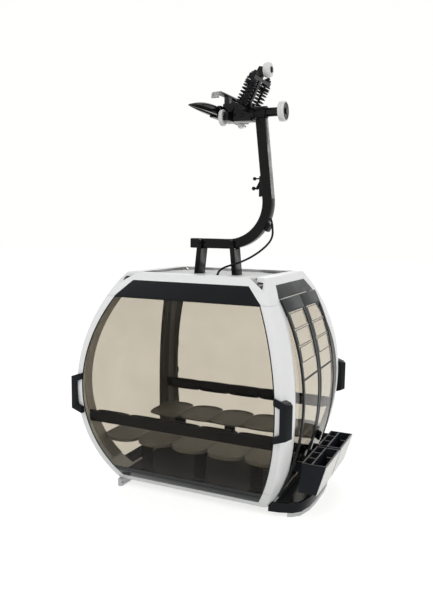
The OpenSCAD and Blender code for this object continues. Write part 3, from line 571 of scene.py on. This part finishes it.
def rounded(node, width):
    """A copy of a node with its sharp edges rounded by width millimetres; it stands for the node."""
    mesh = bmesh.new()
    mesh.from_mesh(frame["nodes"][node].data)
    bmesh.ops.remove_doubles(mesh, verts=mesh.verts, dist=SAME_POINT * MM)
    bmesh.ops.dissolve_limit(mesh, angle_limit=math.radians(FLAT_ANGLE), verts=mesh.verts, edges=mesh.edges)
    corner = math.radians(CORNER_ANGLE)
    edges = [e for e in mesh.edges if len(e.link_faces) == 2 and e.calc_face_angle(0) > corner]
    bmesh.ops.bevel(mesh, geom=edges, offset=width * MM, offset_type="OFFSET", segments=2, profile=0.5,
                    affect="EDGES", clamp_overlap=True)
    return make_piece(node + "_moulding", mesh, finish_name_of(node), body_of[node], [node])


rounding_mm = {
    "pillar_front_left": 0.5, "pillar_front_right": 0.5, "pillar_rear_left": 0.5, "pillar_rear_right": 0.5,
    "roof_cap": 1.6, "bottom_frame": 0.6, "header_front": 0.5, "header_rear": 0.5, "headers_side": 0.4,
    "sill_strips": 0.4, "hanger_arm": 1.3, "hanger_posts": 1.0, "bumpers": 1.6, "door_tray": 0.8,
    "runners": 1.2, "rack_front": 0.35, "rack_rear": 0.35,
    "door_frame_front": 0.3, "door_frame_rear": 0.3, "grip_frame": 0.5, "fixed_jaw": 0.8, "moving_jaw": 0.8,
    "clamp_lever": 0.6, "friction_plate": 0.3, "roof_deck": 0.6,
}
for node_name, width in rounding_mm.items():
    piece = rounded(node_name, width)
    print(node_name, "rounded by", width, "mm,", len(piece.data.polygons), "faces")

# %% [markdown]
# ## The clamp springs
#
# Two black coil springs hold the grip shut. A helix is the honest shape: light shows between its turns.
# The end turns lie flat, as on a ground spring, so the pitch closes up near both ends. A ring of points
# is swept along the helix by hand, because that keeps the wire round where the pitch changes.

# %% Skin over rings
def skin(mesh, rings):
    """Joins rings of points one after another into a tube and closes both ends."""
    count = len(rings[0])
    for a, b in zip(rings, rings[1:]):
        for k in range(count):
            mesh.faces.new((a[k], a[(k + 1) % count], b[(k + 1) % count], b[k]))
    mesh.faces.new(rings[0][::-1])
    mesh.faces.new(rings[-1])


# %% Sweep a ring along a line
def sweep(mesh, line, radius, sides=10):
    """Adds a closed round tube along a line of points to a bmesh."""
    rings = []
    side_way = None
    for i, spot in enumerate(line):
        ahead = (line[min(i + 1, len(line) - 1)] - line[max(i - 1, 0)]).normalized()
        if side_way is None:
            side_way = ahead.orthogonal().normalized()
        side_way = (side_way - ahead * side_way.dot(ahead)).normalized()
        up = ahead.cross(side_way)
        ring = []
        for k in range(sides):
            angle = math.tau * k / sides
            ring.append(mesh.verts.new(spot + radius * (math.cos(angle) * side_way + math.sin(angle) * up)))
        rings.append(ring)
    skin(mesh, rings)


# %% [markdown]
# A bolt head, a nut and a round end plate are one shape with more or fewer sides: a short prism with a
# bevelled top and, in a screw, a dent. The springs' rods need such heads first, so they are made here.

# %% Heads
def add_head(mesh, spot, way, radius, tall, sides=6, dent=0.0):
    """A bolt or screw head: a bevelled prism that stands on spot and points along way."""
    way = way.normalized()
    across = way.orthogonal().normalized()
    over = way.cross(across)
    levels = [(0, 1.0), (tall * 0.72, 1.0), (tall, 0.82)]
    if dent:
        levels += [(tall, 0.45), (tall - dent, 0.38)]
    rings = []
    for rise, share in levels:
        ring = []
        for k in range(sides):
            angle = math.tau * (k + 0.5) / sides
            outward = math.cos(angle) * across + math.sin(angle) * over
            ring.append(mesh.verts.new(spot + MM * (rise * way + radius * share * outward)))
        rings.append(ring)
    skin(mesh, rings)


# %% Coil springs
SPRING_R, SPRING_LENGTH, SPRING_LEAN = 7.6, 31.0, math.radians(26.5)
SPRING_FOOT_X, SPRING_FOOT_Z, SPRING_Y = 37.2, 486, 22
WIRE_R, TURNS, STEPS_PER_TURN, EASE = 0.9, 9.5, 28, 0.45
spring_up = Vector((math.sin(SPRING_LEAN), 0, math.cos(SPRING_LEAN)))
spring_side = Vector((math.cos(SPRING_LEAN), 0, -math.sin(SPRING_LEAN)))


def spring_line(y):
    foot = at(SPRING_FOOT_X, y, SPRING_FOOT_Z)
    count = int(TURNS * STEPS_PER_TURN)
    line = []
    for i in range(count + 1):
        share = i / count
        eased = share - math.sin(math.tau * share) / math.tau * EASE
        rise = WIRE_R + (SPRING_LENGTH - 2 * WIRE_R) * eased
        angle = math.tau * TURNS * share
        reach = SPRING_R - WIRE_R
        line.append(foot + MM * (rise * spring_up + reach * math.cos(angle) * spring_side
                                 + reach * math.sin(angle) * Vector((0, 1, 0))))
    return line


for side, where in ((-1, "front"), (1, "rear")):
    mesh = bmesh.new()
    sweep(mesh, spring_line(side * SPRING_Y), WIRE_R * MM)
    make_piece(f"spring_{where}_coil", mesh, "spring_steel", "grip", [f"spring_{where}"])
print("two springs of", TURNS, "turns")


# %% Spring rods, their end plates and nuts
ROD_R, PLATE_R, PLATE_T = 1.5, 7.0, 2.9
BAR_LOW, BAR_TOP, BAR_HALF_W, CROSS_HALF = 3, 7, 4, 27.0
NUT_R, NUT_T, TIP_R, TIP_T = 4.6, 3.0, 2.4, 2.4


def in_spring_frame(y, across, rise):
    """A spot beside a spring's axis, rise millimetres up along it."""
    return at(SPRING_FOOT_X, y, SPRING_FOOT_Z) + MM * (rise * spring_up + across * spring_side)


mesh = bmesh.new()
for y in (-SPRING_Y, SPRING_Y):
    rod = [in_spring_frame(y, 0, r) for r in (0, SPRING_LENGTH / 2, SPRING_LENGTH + BAR_LOW)]
    sweep(mesh, rod, ROD_R * MM, 14)
    add_head(mesh, in_spring_frame(y, 0, SPRING_LENGTH + 0.1), spring_up, PLATE_R, PLATE_T, 32)
    add_head(mesh, in_spring_frame(y, 0, SPRING_LENGTH + BAR_TOP), spring_up, NUT_R, NUT_T)
    add_head(mesh, in_spring_frame(y, 0, SPRING_LENGTH + 9.8), spring_up, TIP_R, TIP_T, 18)
bar = [in_spring_frame(y, x, r) for x in (-BAR_HALF_W, BAR_HALF_W) for y in (-CROSS_HALF, CROSS_HALF)
       for r in (SPRING_LENGTH + BAR_LOW, SPRING_LENGTH + BAR_TOP)]
bmesh.ops.convex_hull(mesh, input=[mesh.verts.new(spot) for spot in bar])
make_piece("spring_rod_set", mesh, "black_metal", "grip", ["spring_rods"])
print("the rods are", 2 * ROD_R, "mm thick")

# %% [markdown]
# ## Turned wheels
#
# The rollers and wheels are turned from white nylon. A turned part is a profile spun about its axle, and
# the profile is where the character lies: the lever's roller is crowned like a barrel, the outer wheel
# is a flat tyre round a dark disc, and the running wheels have a shallow dish in their outer face.

# %% Spin a profile
def spin(mesh, profile, axle_spot, steps=72):
    """Spins (along X, radius) pairs about an axle along X; a radius of 0 closes the end."""
    rings = []
    for along, radius in profile:
        if radius == 0:
            rings.append([mesh.verts.new(axle_spot + Vector((along * MM, 0, 0)))])
            continue
        ring = []
        for k in range(steps):
            angle = math.tau * k / steps
            spot = Vector((along, radius * math.cos(angle), radius * math.sin(angle)))
            ring.append(mesh.verts.new(axle_spot + MM * spot))
        rings.append(ring)
    for a, b in zip(rings, rings[1:]):
        for k in range(steps):
            corners = [a[k % len(a)], a[(k + 1) % steps % len(a)], b[(k + 1) % steps % len(b)], b[k % len(b)]]
            mesh.faces.new(list(dict.fromkeys(corners)))


def fillet(along, radius, size, start, count=5):
    """A quarter round corner in a profile, from the angle start, for spin."""
    angles = [start + i * math.pi / 2 / count for i in range(count + 1)]
    return [(along + size * math.cos(angle), radius + size * math.sin(angle)) for angle in angles]


# %% Where each wheel is
def wheel_place(node):
    """The middle of a wheel's node, its half width and its radius, in millimetres."""
    low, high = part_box(node)
    return (low + high) / 2, (high.x - low.x) / 2 / MM, (high.z - low.z) / 2 / MM


# %% The crowned roller
centre, half, radius = wheel_place("lever_roller")
CROWN, SHOULDER = 1.5, 0.9
crown_line = [(half * t / 10, radius - CROWN * (t / 10) ** 2) for t in range(-9, 10)]
roller_profile = ([(-half, 0), (-half, radius - CROWN - SHOULDER)] + crown_line
                  + [(half, radius - CROWN - SHOULDER), (half, 4.4), (half - 0.7, 4.2), (half - 0.7, 0)])
mesh = bmesh.new()
spin(mesh, roller_profile, centre)
make_piece("lever_roller_barrel", mesh, "white_nylon", "roller", ["lever_roller"])
mesh = bmesh.new()
spin(mesh, [(half - 0.7, 0), (half - 0.7, 3.6), (half - 0.15, 3.4), (half - 0.15, 2.0),
            (half - 0.6, 1.8), (half - 0.6, 0)], centre)
make_piece("lever_roller_cap", mesh, "grey_disc", "roller")
print("roller radius", round(radius, 2), "mm")

# %% The outer wheel
centre, half, radius = wheel_place("outer_wheel_tyre")
TYRE_ROUND = 1.1
disc_low, disc_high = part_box("outer_wheel_disc")
disc_r = (disc_high.z - disc_low.z) / 2 / MM
tyre_profile = ([(half - 0.5, disc_r - 0.1), (half, disc_r)]
                + fillet(half - TYRE_ROUND, radius - TYRE_ROUND, TYRE_ROUND, 0)
                + [(0.8, radius), (0.6, radius - 0.25), (0.2, radius - 0.25), (0, radius)]
                + fillet(-half + TYRE_ROUND, radius - TYRE_ROUND, TYRE_ROUND, math.pi / 2)
                + [(-half, 6.5), (-half + 1, 6.2), (-half + 1, disc_r - 3), (half - 0.5, disc_r - 0.1)])
mesh = bmesh.new()
spin(mesh, tyre_profile, centre)
make_piece("outer_wheel_nylon", mesh, "white_nylon", "outer_wheel", ["outer_wheel_tyre"])
disc_profile = [(half - 1.2, 0), (half - 1.2, 1.2), (half - 0.2, 1.9), (half - 0.2, 3.1),
                (half - 0.5, 3.4), (half - 0.5, disc_r - 1.4), (half - 0.1, disc_r - 1.1),
                (half - 0.1, disc_r - 0.2), (half - 0.4, disc_r - 0.1),
                (-half + 1.2, disc_r - 0.1), (-half + 1.2, 6)]
mesh = bmesh.new()
spin(mesh, disc_profile, centre)
make_piece("outer_wheel_face", mesh, "grey_disc", "outer_wheel", ["outer_wheel_disc"])
print("outer wheel radius", round(radius, 2), "mm, its disc", round(disc_r, 2), "mm")

# %% The two running wheels
RIM_ROUND = 0.9
for node, body in (("running_wheel_front", "running_wheel_a"), ("running_wheel_rear", "running_wheel_b")):
    centre, half, radius = wheel_place(node)
    profile = ([(half - 0.9, 2.8), (half - 0.9, radius - 2.6), (half, radius - 2.2)]
               + fillet(half - RIM_ROUND, radius - RIM_ROUND, RIM_ROUND, 0)
               + fillet(-half + RIM_ROUND, radius - RIM_ROUND, RIM_ROUND, math.pi / 2)
               + [(-half, 4.4), (-half + 0.4, 4.2), (-half + 0.4, 2.8), (half - 0.9, 2.8)])
    mesh = bmesh.new()
    spin(mesh, profile, centre)
    make_piece(node + "_nylon", mesh, "white_nylon", body, [node])
print("two running wheels, radius", round(radius, 2), "mm")

# %% [markdown]
# ## The rope guides
#
# From the jaws a pointed gutter runs out along the rope on both sides and lifts the rope's hold-down
# rollers over the grip. It is a half shell: a rounded back that sinks and narrows to a tip. A loft over
# a few dozen cross sections gives that spear shape, with the hollow for the rope left open below.

# %% Loft a rope guide
JAW_HALF, GUIDE_TIP = 15.1, 87.0
GUIDE_HEIGHT, GUIDE_HALF = 12.3, 6.4
TIP_HALF, TIP_HEIGHT = 0.5, 0.8
ROPE_ROOM, ROOM_SHARE, LIP = 3.1, 0.72, 0.6
STATIONS, BACK_STEPS, GROOVE_STEPS = 36, 24, 10


def guide_section(share):
    """Half width and height of the guide at a share of its length from the jaw, in millimetres."""
    fall = 1 - share * share
    return TIP_HALF + (GUIDE_HALF - TIP_HALF) * fall, TIP_HEIGHT + (GUIDE_HEIGHT - TIP_HEIGHT) * fall


def loft_guide(side):
    mesh = bmesh.new()
    rings = []
    for i in range(STATIONS + 1):
        share = i / STATIONS
        half, tall = guide_section(share)
        room = min(ROPE_ROOM, half * ROOM_SHARE, tall * ROOM_SHARE)
        y = side * (JAW_HALF + (GUIDE_TIP - JAW_HALF) * share)
        section = []
        for k in range(BACK_STEPS + 1):
            angle = math.pi * k / BACK_STEPS
            section.append((half * math.cos(angle), -LIP + (tall + LIP) * math.sin(angle) ** 0.9))
        for k in range(GROOVE_STEPS + 1):
            angle = math.pi * k / GROOVE_STEPS
            section.append((-room * math.cos(angle), -LIP + room * math.sin(angle)))
        rings.append([mesh.verts.new(MM * Vector((x, y, z))) for x, z in section])
    skin(mesh, rings)
    return mesh


for side, where in ((-1, "front"), (1, "rear")):
    make_piece(f"rope_guide_{where}", loft_guide(side), "black_metal", "grip", [f"tongue_{where}"], sharp=50)
print("rope guides reach", GUIDE_TIP, "mm to each side")

# %% [markdown]
# ## Bolts and screws
#
# Heads hold the hanger's beam to its posts and the grip's cheeks together, and small pan-head screws
# hold the trim. The head function from the springs makes them all, at any place and in any direction,
# and each group is one joined mesh.

# %% Post bolts
POST_X, POST_SPLAY, SUNK = 22.6, 1.18, 0.3
BEAM_LEVEL, FOOT_LEVEL = 319.2, 285
post_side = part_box("hanger_posts")[1].y / MM
mesh = bmesh.new()
for x in (-POST_X, POST_X):
    for side in (-1, 1):
        y, way = side * (post_side - SUNK), Vector((0, side, 0))
        add_head(mesh, at(x, y, BEAM_LEVEL), way, 2.9, 2.2, 32, 0.6)
        add_head(mesh, at(x * POST_SPLAY, y, FOOT_LEVEL), way, 1.7, 1.2, 24, 0.5)
make_piece("post_bolts", mesh, "hanger_paint", "cabin")
print("post bolts stand at y =", round(post_side, 1), "mm")

# %% Grip bolts
mesh = bmesh.new()
for y in (-8.6, 8.6):
    for x, z in ((20, 483.5), (33, 476)):
        add_head(mesh, at(x, y * 0.99, z), Vector((0, y, 0)), 2.4, 1.8)
for y in (-30.4, 30.4):
    add_head(mesh, at(SPRING_FOOT_X - 2, y * 0.995, SPRING_FOOT_Z - 3), Vector((0, y, 0)), 1.8, 1.2)
make_piece("grip_bolts", mesh, "black_metal", "grip")
print("six grip bolts")

# %% [markdown]
# ## The curved walls as formulas
#
# The cabin's walls are parts of large cylinders: each bulges outward and is deepest a little above the
# middle. Anything that lies on a wall can be placed by the same two arcs, so the gaskets, vents and trim
# below follow the glass exactly.

# %% Wall arcs
HALF_WIDTH, SIDE_R, SIDE_BELLY = 139.3, 251.9, 136.0
HALF_LENGTH, END_R, END_BELLY = 124.6, 218.5, 145.0


def side_x(z, inset=0.0):
    """Reach of a side wall at level z, moved in by inset."""
    return HALF_WIDTH - SIDE_R + math.sqrt((SIDE_R - inset) ** 2 - (z - SIDE_BELLY) ** 2)


def end_y(z, inset=0.0):
    """Reach of an end wall at level z, moved in by inset."""
    return HALF_LENGTH - END_R + math.sqrt((END_R - inset) ** 2 - (z - END_BELLY) ** 2)


def levels(low, high, count):
    return [low + (high - low) * i / (count - 1) for i in range(count)]


print("side wall at the belly:", round(side_x(SIDE_BELLY), 1), "end wall:", round(end_y(END_BELLY), 1))

# %% [markdown]
# ## Window gaskets
#
# A thin black rubber line runs round each large pane, where the glass sits in the shell. It is barely a
# millimetre wide, but it draws the window's outline, so it is real geometry: a closed tube that follows
# the edge of the opening on the curved wall.

# %% Gaskets of the end windows and the left window
PANE_LOW, PANE_TOP, SIDE_TOP = 27.4, 251.6, 256.6
GASKET_R = 0.75
FACE_W, SIDE_W = 13.0, 33.0


def end_window_line(side):
    up = [(side_x(z, FACE_W + 0.5), z) for z in levels(PANE_LOW, PANE_TOP, 40)]
    outline = up + [(-x, z) for x, z in reversed(up)]
    return [at(x, side * end_y(z, 0.5), z) for x, z in outline]


def left_window_line():
    up = [(end_y(z, SIDE_W + 0.5), z) for z in levels(PANE_LOW, SIDE_TOP, 40)]
    outline = up + [(-y, z) for y, z in reversed(up)]
    return [at(-side_x(z, 0.5), y, z) for y, z in outline]


tube_curve("window_gaskets", [end_window_line(-1), end_window_line(1), left_window_line()], GASKET_R * MM,
           "black_rubber", "cabin", closed=True, sides=8)
print("gaskets", 2 * GASKET_R, "mm wide")

# %% [markdown]
# ## Printed sill bands
#
# The lower margin of each end window is printed black, and the print has chipped along its upper edge.
# It is a skin on the outer face of the glass: a strip of narrow columns whose tops end at slightly
# different heights. Fixed random numbers keep the same chips in every render.

# %% Sill prints
PRINT_LOW, PRINT_TOP = 27.2, 32.6
PRINT_COLUMNS, PRINT_SUNK, PRINT_PROUD = 320, 0.02, 0.1
CHIP_CHANCE, CHIP, WEAR = 0.16, (0.3, 1.1), (0, 0.12)


def sill_print(side, seed):
    chips = random.Random(seed)
    mesh = bmesh.new()
    columns = []
    for i in range(PRINT_COLUMNS + 1):
        share = 2 * i / PRINT_COLUMNS - 1
        top = PRINT_TOP - (chips.uniform(*CHIP) if chips.random() < CHIP_CHANCE else chips.uniform(*WEAR))
        column = []
        for start, end, proud in ((PRINT_LOW, top, -PRINT_SUNK), (top, PRINT_LOW, PRINT_PROUD)):
            for z in levels(start, end, 4):
                x = share * side_x(z, FACE_W + 0.4)
                column.append(mesh.verts.new(at(x, side * (end_y(z) + proud), z)))
        columns.append(column)
    skin(mesh, columns)
    return mesh


for side, where in ((-1, "front"), (1, "rear")):
    make_piece(f"sill_print_{where}", sill_print(side, 5 + side), "gloss_black", "cabin")
print("printed bands", PRINT_TOP - PRINT_LOW, "mm tall")

# %% [markdown]
# ## Vents in the door glass
#
# The upper pane of each leaf has three small hinged vents, one above the other. On the model they are
# embossed rectangles with a dark line round each. Each line is a thin closed tube with rounded corners,
# laid on the leaf's outer face, and a second shorter line marks the hinge side.

# %% Vent outlines
LEAF_W, STILE, LEAF_GLASS_OUT = 68.4, 6.0, 2.3
VENT_TOP, VENT_STEP, VENT_TALL, VENT_R = 240.4, 19.2, 17.0, 2.2
HINGE_IN, HINGE_SHORT = 3.2, 1.5
VENT_LINE_R, HINGE_LINE_R = 0.42, 0.35


def vent_outline(y0, y1, z0, z1, radius, per_corner=5):
    """A rounded rectangle on the outer face of a leaf."""
    line = []
    for cy, cz, start in ((y1 - radius, z1 - radius, 0), (y0 + radius, z1 - radius, 90),
                          (y0 + radius, z0 + radius, 180), (y1 - radius, z0 + radius, 270)):
        for i in range(per_corner + 1):
            angle = math.radians(start + 90 * i / per_corner)
            y, z = cy + radius * math.cos(angle), cz + radius * math.sin(angle)
            line.append(at(side_x(z, -LEAF_GLASS_OUT), y, z))
    return line


for side, where in ((-1, "front"), (1, "rear")):
    y0 = side * (0.6 + LEAF_W / 2) - LEAF_W / 2 + STILE + 2.0
    y1 = y0 + LEAF_W - 2 * STILE - 4.5
    outlines = []
    hinge_lines = []
    for i in range(3):
        top = VENT_TOP - i * VENT_STEP
        outlines.append(vent_outline(y0, y1, top - VENT_TALL, top, VENT_R))
        hinge_levels = levels(top - VENT_TALL + HINGE_SHORT, top - HINGE_SHORT, 6)
        hinge_lines.append([at(side_x(z, -LEAF_GLASS_OUT), y1 - HINGE_IN, z) for z in hinge_levels])
    tube_curve(f"vent_lines_{where}", outlines, VENT_LINE_R * MM, "door_black", f"{where}_leaf", closed=True)
    tube_curve(f"vent_hinges_{where}", hinge_lines, HINGE_LINE_R * MM, "door_black", f"{where}_leaf")
print("six vents")

# %% [markdown]
# ## Seats
#
# Each bench is one moulding of five pans side by side. A pan is straight in front and round at the back,
# dished in the middle and raised where it meets its neighbour. A grid of points bent to that outline
# and pressed down in the middle makes the top, and a skirt closes it underneath.

# %% One pan
SEAT_LEVEL, SEAT_FRONT, SEAT_DEPTH, SEAT_W = 69.0, 34.0, 59.0, 49.0
REAR_ROUND, DISH = 17.0, 2.6
ROLL_SHARE, ROLL_DROP = 0.12, 1.6
PAN_STEPS, PAN_THICK, SKIRT_DROP = 22, 2.2, 4.5


def pan_half(depth):
    """Half width of a pan at a depth behind its front edge."""
    half = SEAT_W / 2 - 0.3
    past = (depth - (SEAT_DEPTH - REAR_ROUND)) / REAR_ROUND
    return half * math.sqrt(max(1 - past * past, 0.0)) if past > 0 else half


def pan_top(across, share):
    """Level of the pan's top above its lowest point: high at the edges, low in the middle."""
    edge = max(abs(across) ** 4, max(0.0, share * 2 - 1) ** 4)
    front_roll = max(0.0, ROLL_SHARE - share) / ROLL_SHARE
    return SEAT_LEVEL - DISH * (1 - edge) - ROLL_DROP * front_roll ** 2


def add_pan(mesh, x, side):
    top, low = [], []
    for j in range(PAN_STEPS + 1):
        share = j / PAN_STEPS
        depth = SEAT_DEPTH * (1 - (1 - share) ** 1.6)
        half = max(pan_half(depth), 0.4)
        row_top, row_low = [], []
        for i in range(PAN_STEPS + 1):
            across = 2 * i / PAN_STEPS - 1
            level = pan_top(across, share)
            y = side * (SEAT_FRONT + min(depth, SEAT_DEPTH - 0.3))
            row_top.append(mesh.verts.new(at(x + half * across, y, level)))
            under = min(level - PAN_THICK, SEAT_LEVEL - SKIRT_DROP)
            row_low.append(mesh.verts.new(at(x + half * 0.97 * across, y - side * 0.4, under)))
        top.append(row_top)
        low.append(row_low)
    for rows, flip in ((top, False), (low, True)):
        for a, b in zip(rows, rows[1:]):
            for i in range(PAN_STEPS):
                quad = (a[i], a[i + 1], b[i + 1], b[i])
                mesh.faces.new(quad[::-1] if flip else quad)
    rim_top, rim_low = (rows[0] + [row[-1] for row in rows[1:]] + rows[-1][-2::-1]
                        + [row[0] for row in rows[-2:0:-1]] for rows in (top, low))
    for k in range(len(rim_top)):
        n = (k + 1) % len(rim_top)
        mesh.faces.new((rim_top[k], rim_top[n], rim_low[n], rim_low[k]))


# %% A bench: five pans, a rail and its legs
def add_box(mesh, low, high):
    """A plain block between two corners in millimetres above the ground."""
    made = bmesh.ops.create_cube(mesh, size=1)["verts"]
    a, b = at(*low), at(*high)
    size, middle = b - a, (a + b) / 2
    for vert in made:
        vert.co = Vector(v * abs(s) for v, s in zip(vert.co, size)) + middle


LEG_X = (-1.6 * SEAT_W, 0, 1.6 * SEAT_W)
FLOOR_TOP, FOOT_T, LEG_HALF, FOOT_HALF = 15, 1.6, 7.5, 9
for side, where in ((-1, "front"), (1, "rear")):
    mesh = bmesh.new()
    for k in range(-2, 3):
        add_pan(mesh, k * SEAT_W, side)
    make_piece(f"bench_{where}_pans", mesh, "seat_brown", "cabin", [f"bench_{where}"], sharp=40)
    mesh = bmesh.new()
    half_run = 2.5 * SEAT_W - 0.8
    rail = sorted((side * (SEAT_FRONT + 11), side * (SEAT_FRONT + 16)))
    add_box(mesh, (-half_run, rail[0], SEAT_LEVEL - 10), (half_run, rail[1], SEAT_LEVEL - 4.6))
    for x in LEG_X:
        add_box(mesh, (x - LEG_HALF, rail[0], FLOOR_TOP), (x + LEG_HALF, rail[1], SEAT_LEVEL - 6))
        foot = sorted((side * (SEAT_FRONT + 8), side * (SEAT_FRONT + 20)))
        add_box(mesh, (x - FOOT_HALF, foot[0], FLOOR_TOP), (x + FOOT_HALF, foot[1], FLOOR_TOP + FOOT_T))
    bmesh.ops.bevel(mesh, geom=list(mesh.edges), offset=0.6 * MM, segments=2, profile=0.5, affect="EDGES")
    make_piece(f"bench_{where}_legs", mesh, "floor_black", "cabin")
print("ten seat pans")

# %% [markdown]
# ## Back bands
#
# Behind each row runs a black band with one bulged pad for every seat. A pad is a soft-edged block that
# swells in the middle: a grid whose thickness follows a flattened bell does that. The pads face the
# cabin's middle, and a plain flat plate behind them closes the band towards the window.

# %% Pads and bars
BACK_LEVEL, BACK_HALF_H, BACK_Y, BACK_T = 97.0, 8.2, 94.4, 7.6
PLATE_HALF_H, PLATE_NEAR, PLATE_FAR = 6.7, 5, 8.2
PAD_STEPS, PAD_ROUND, PAD_SQUARE = 24, 20, 0.8


def squared(value):
    """Swells a sine or cosine, so that a round section becomes softly square."""
    return math.copysign(abs(value) ** PAD_SQUARE, value)


def add_pad(mesh, x, side, half_w):
    """A pad with a round, swollen section; half_w is half its length along the band."""
    rings = []
    for i in range(PAD_STEPS + 1):
        along = 2 * i / PAD_STEPS - 1
        swell = (1 - abs(along) ** 5) ** 0.4
        ring = []
        for k in range(PAD_ROUND):
            angle = math.tau * k / PAD_ROUND
            deep = BACK_T / 2 * (0.35 + 0.65 * swell) * squared(math.cos(angle))
            tall = BACK_HALF_H * (0.66 + 0.34 * swell) * squared(math.sin(angle))
            y = side * (BACK_Y + BACK_T / 2 + deep)
            ring.append(mesh.verts.new(at(x + half_w * along, y, BACK_LEVEL + tall)))
        rings.append(ring)
    skin(mesh, rings)


for side, where in ((-1, "front"), (1, "rear")):
    mesh = bmesh.new()
    for k in range(-2, 3):
        add_pad(mesh, k * SEAT_W, side, SEAT_W / 2 + 0.3)
    bar_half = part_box(f"backrest_{where}")[1].x / MM - 0.3
    y0, y1 = sorted((side * (BACK_Y + PLATE_NEAR), side * (BACK_Y + PLATE_FAR)))
    add_box(mesh, (-bar_half, y0, BACK_LEVEL - PLATE_HALF_H), (bar_half, y1, BACK_LEVEL + PLATE_HALF_H))
    make_piece(f"backrest_{where}_band", mesh, "back_pad", "cabin", [f"backrest_{where}"], sharp=50)
print("ten back pads")

# %% Trim screws
SCREW_LEVELS = (70, 118, 150, 205)
mesh = bmesh.new()
for side in (-1, 1):
    for z in SCREW_LEVELS:
        x = side_x(z, 4.5) - 0.1
        add_head(mesh, at(side * x, end_y(z) - 23, z), Vector((-side, 0, 0)), 1.5, 0.9, 20, 0.4)
make_piece("trim_screws", mesh, "screw_steel", "cabin")
print("eight trim screws in the rear pillars")
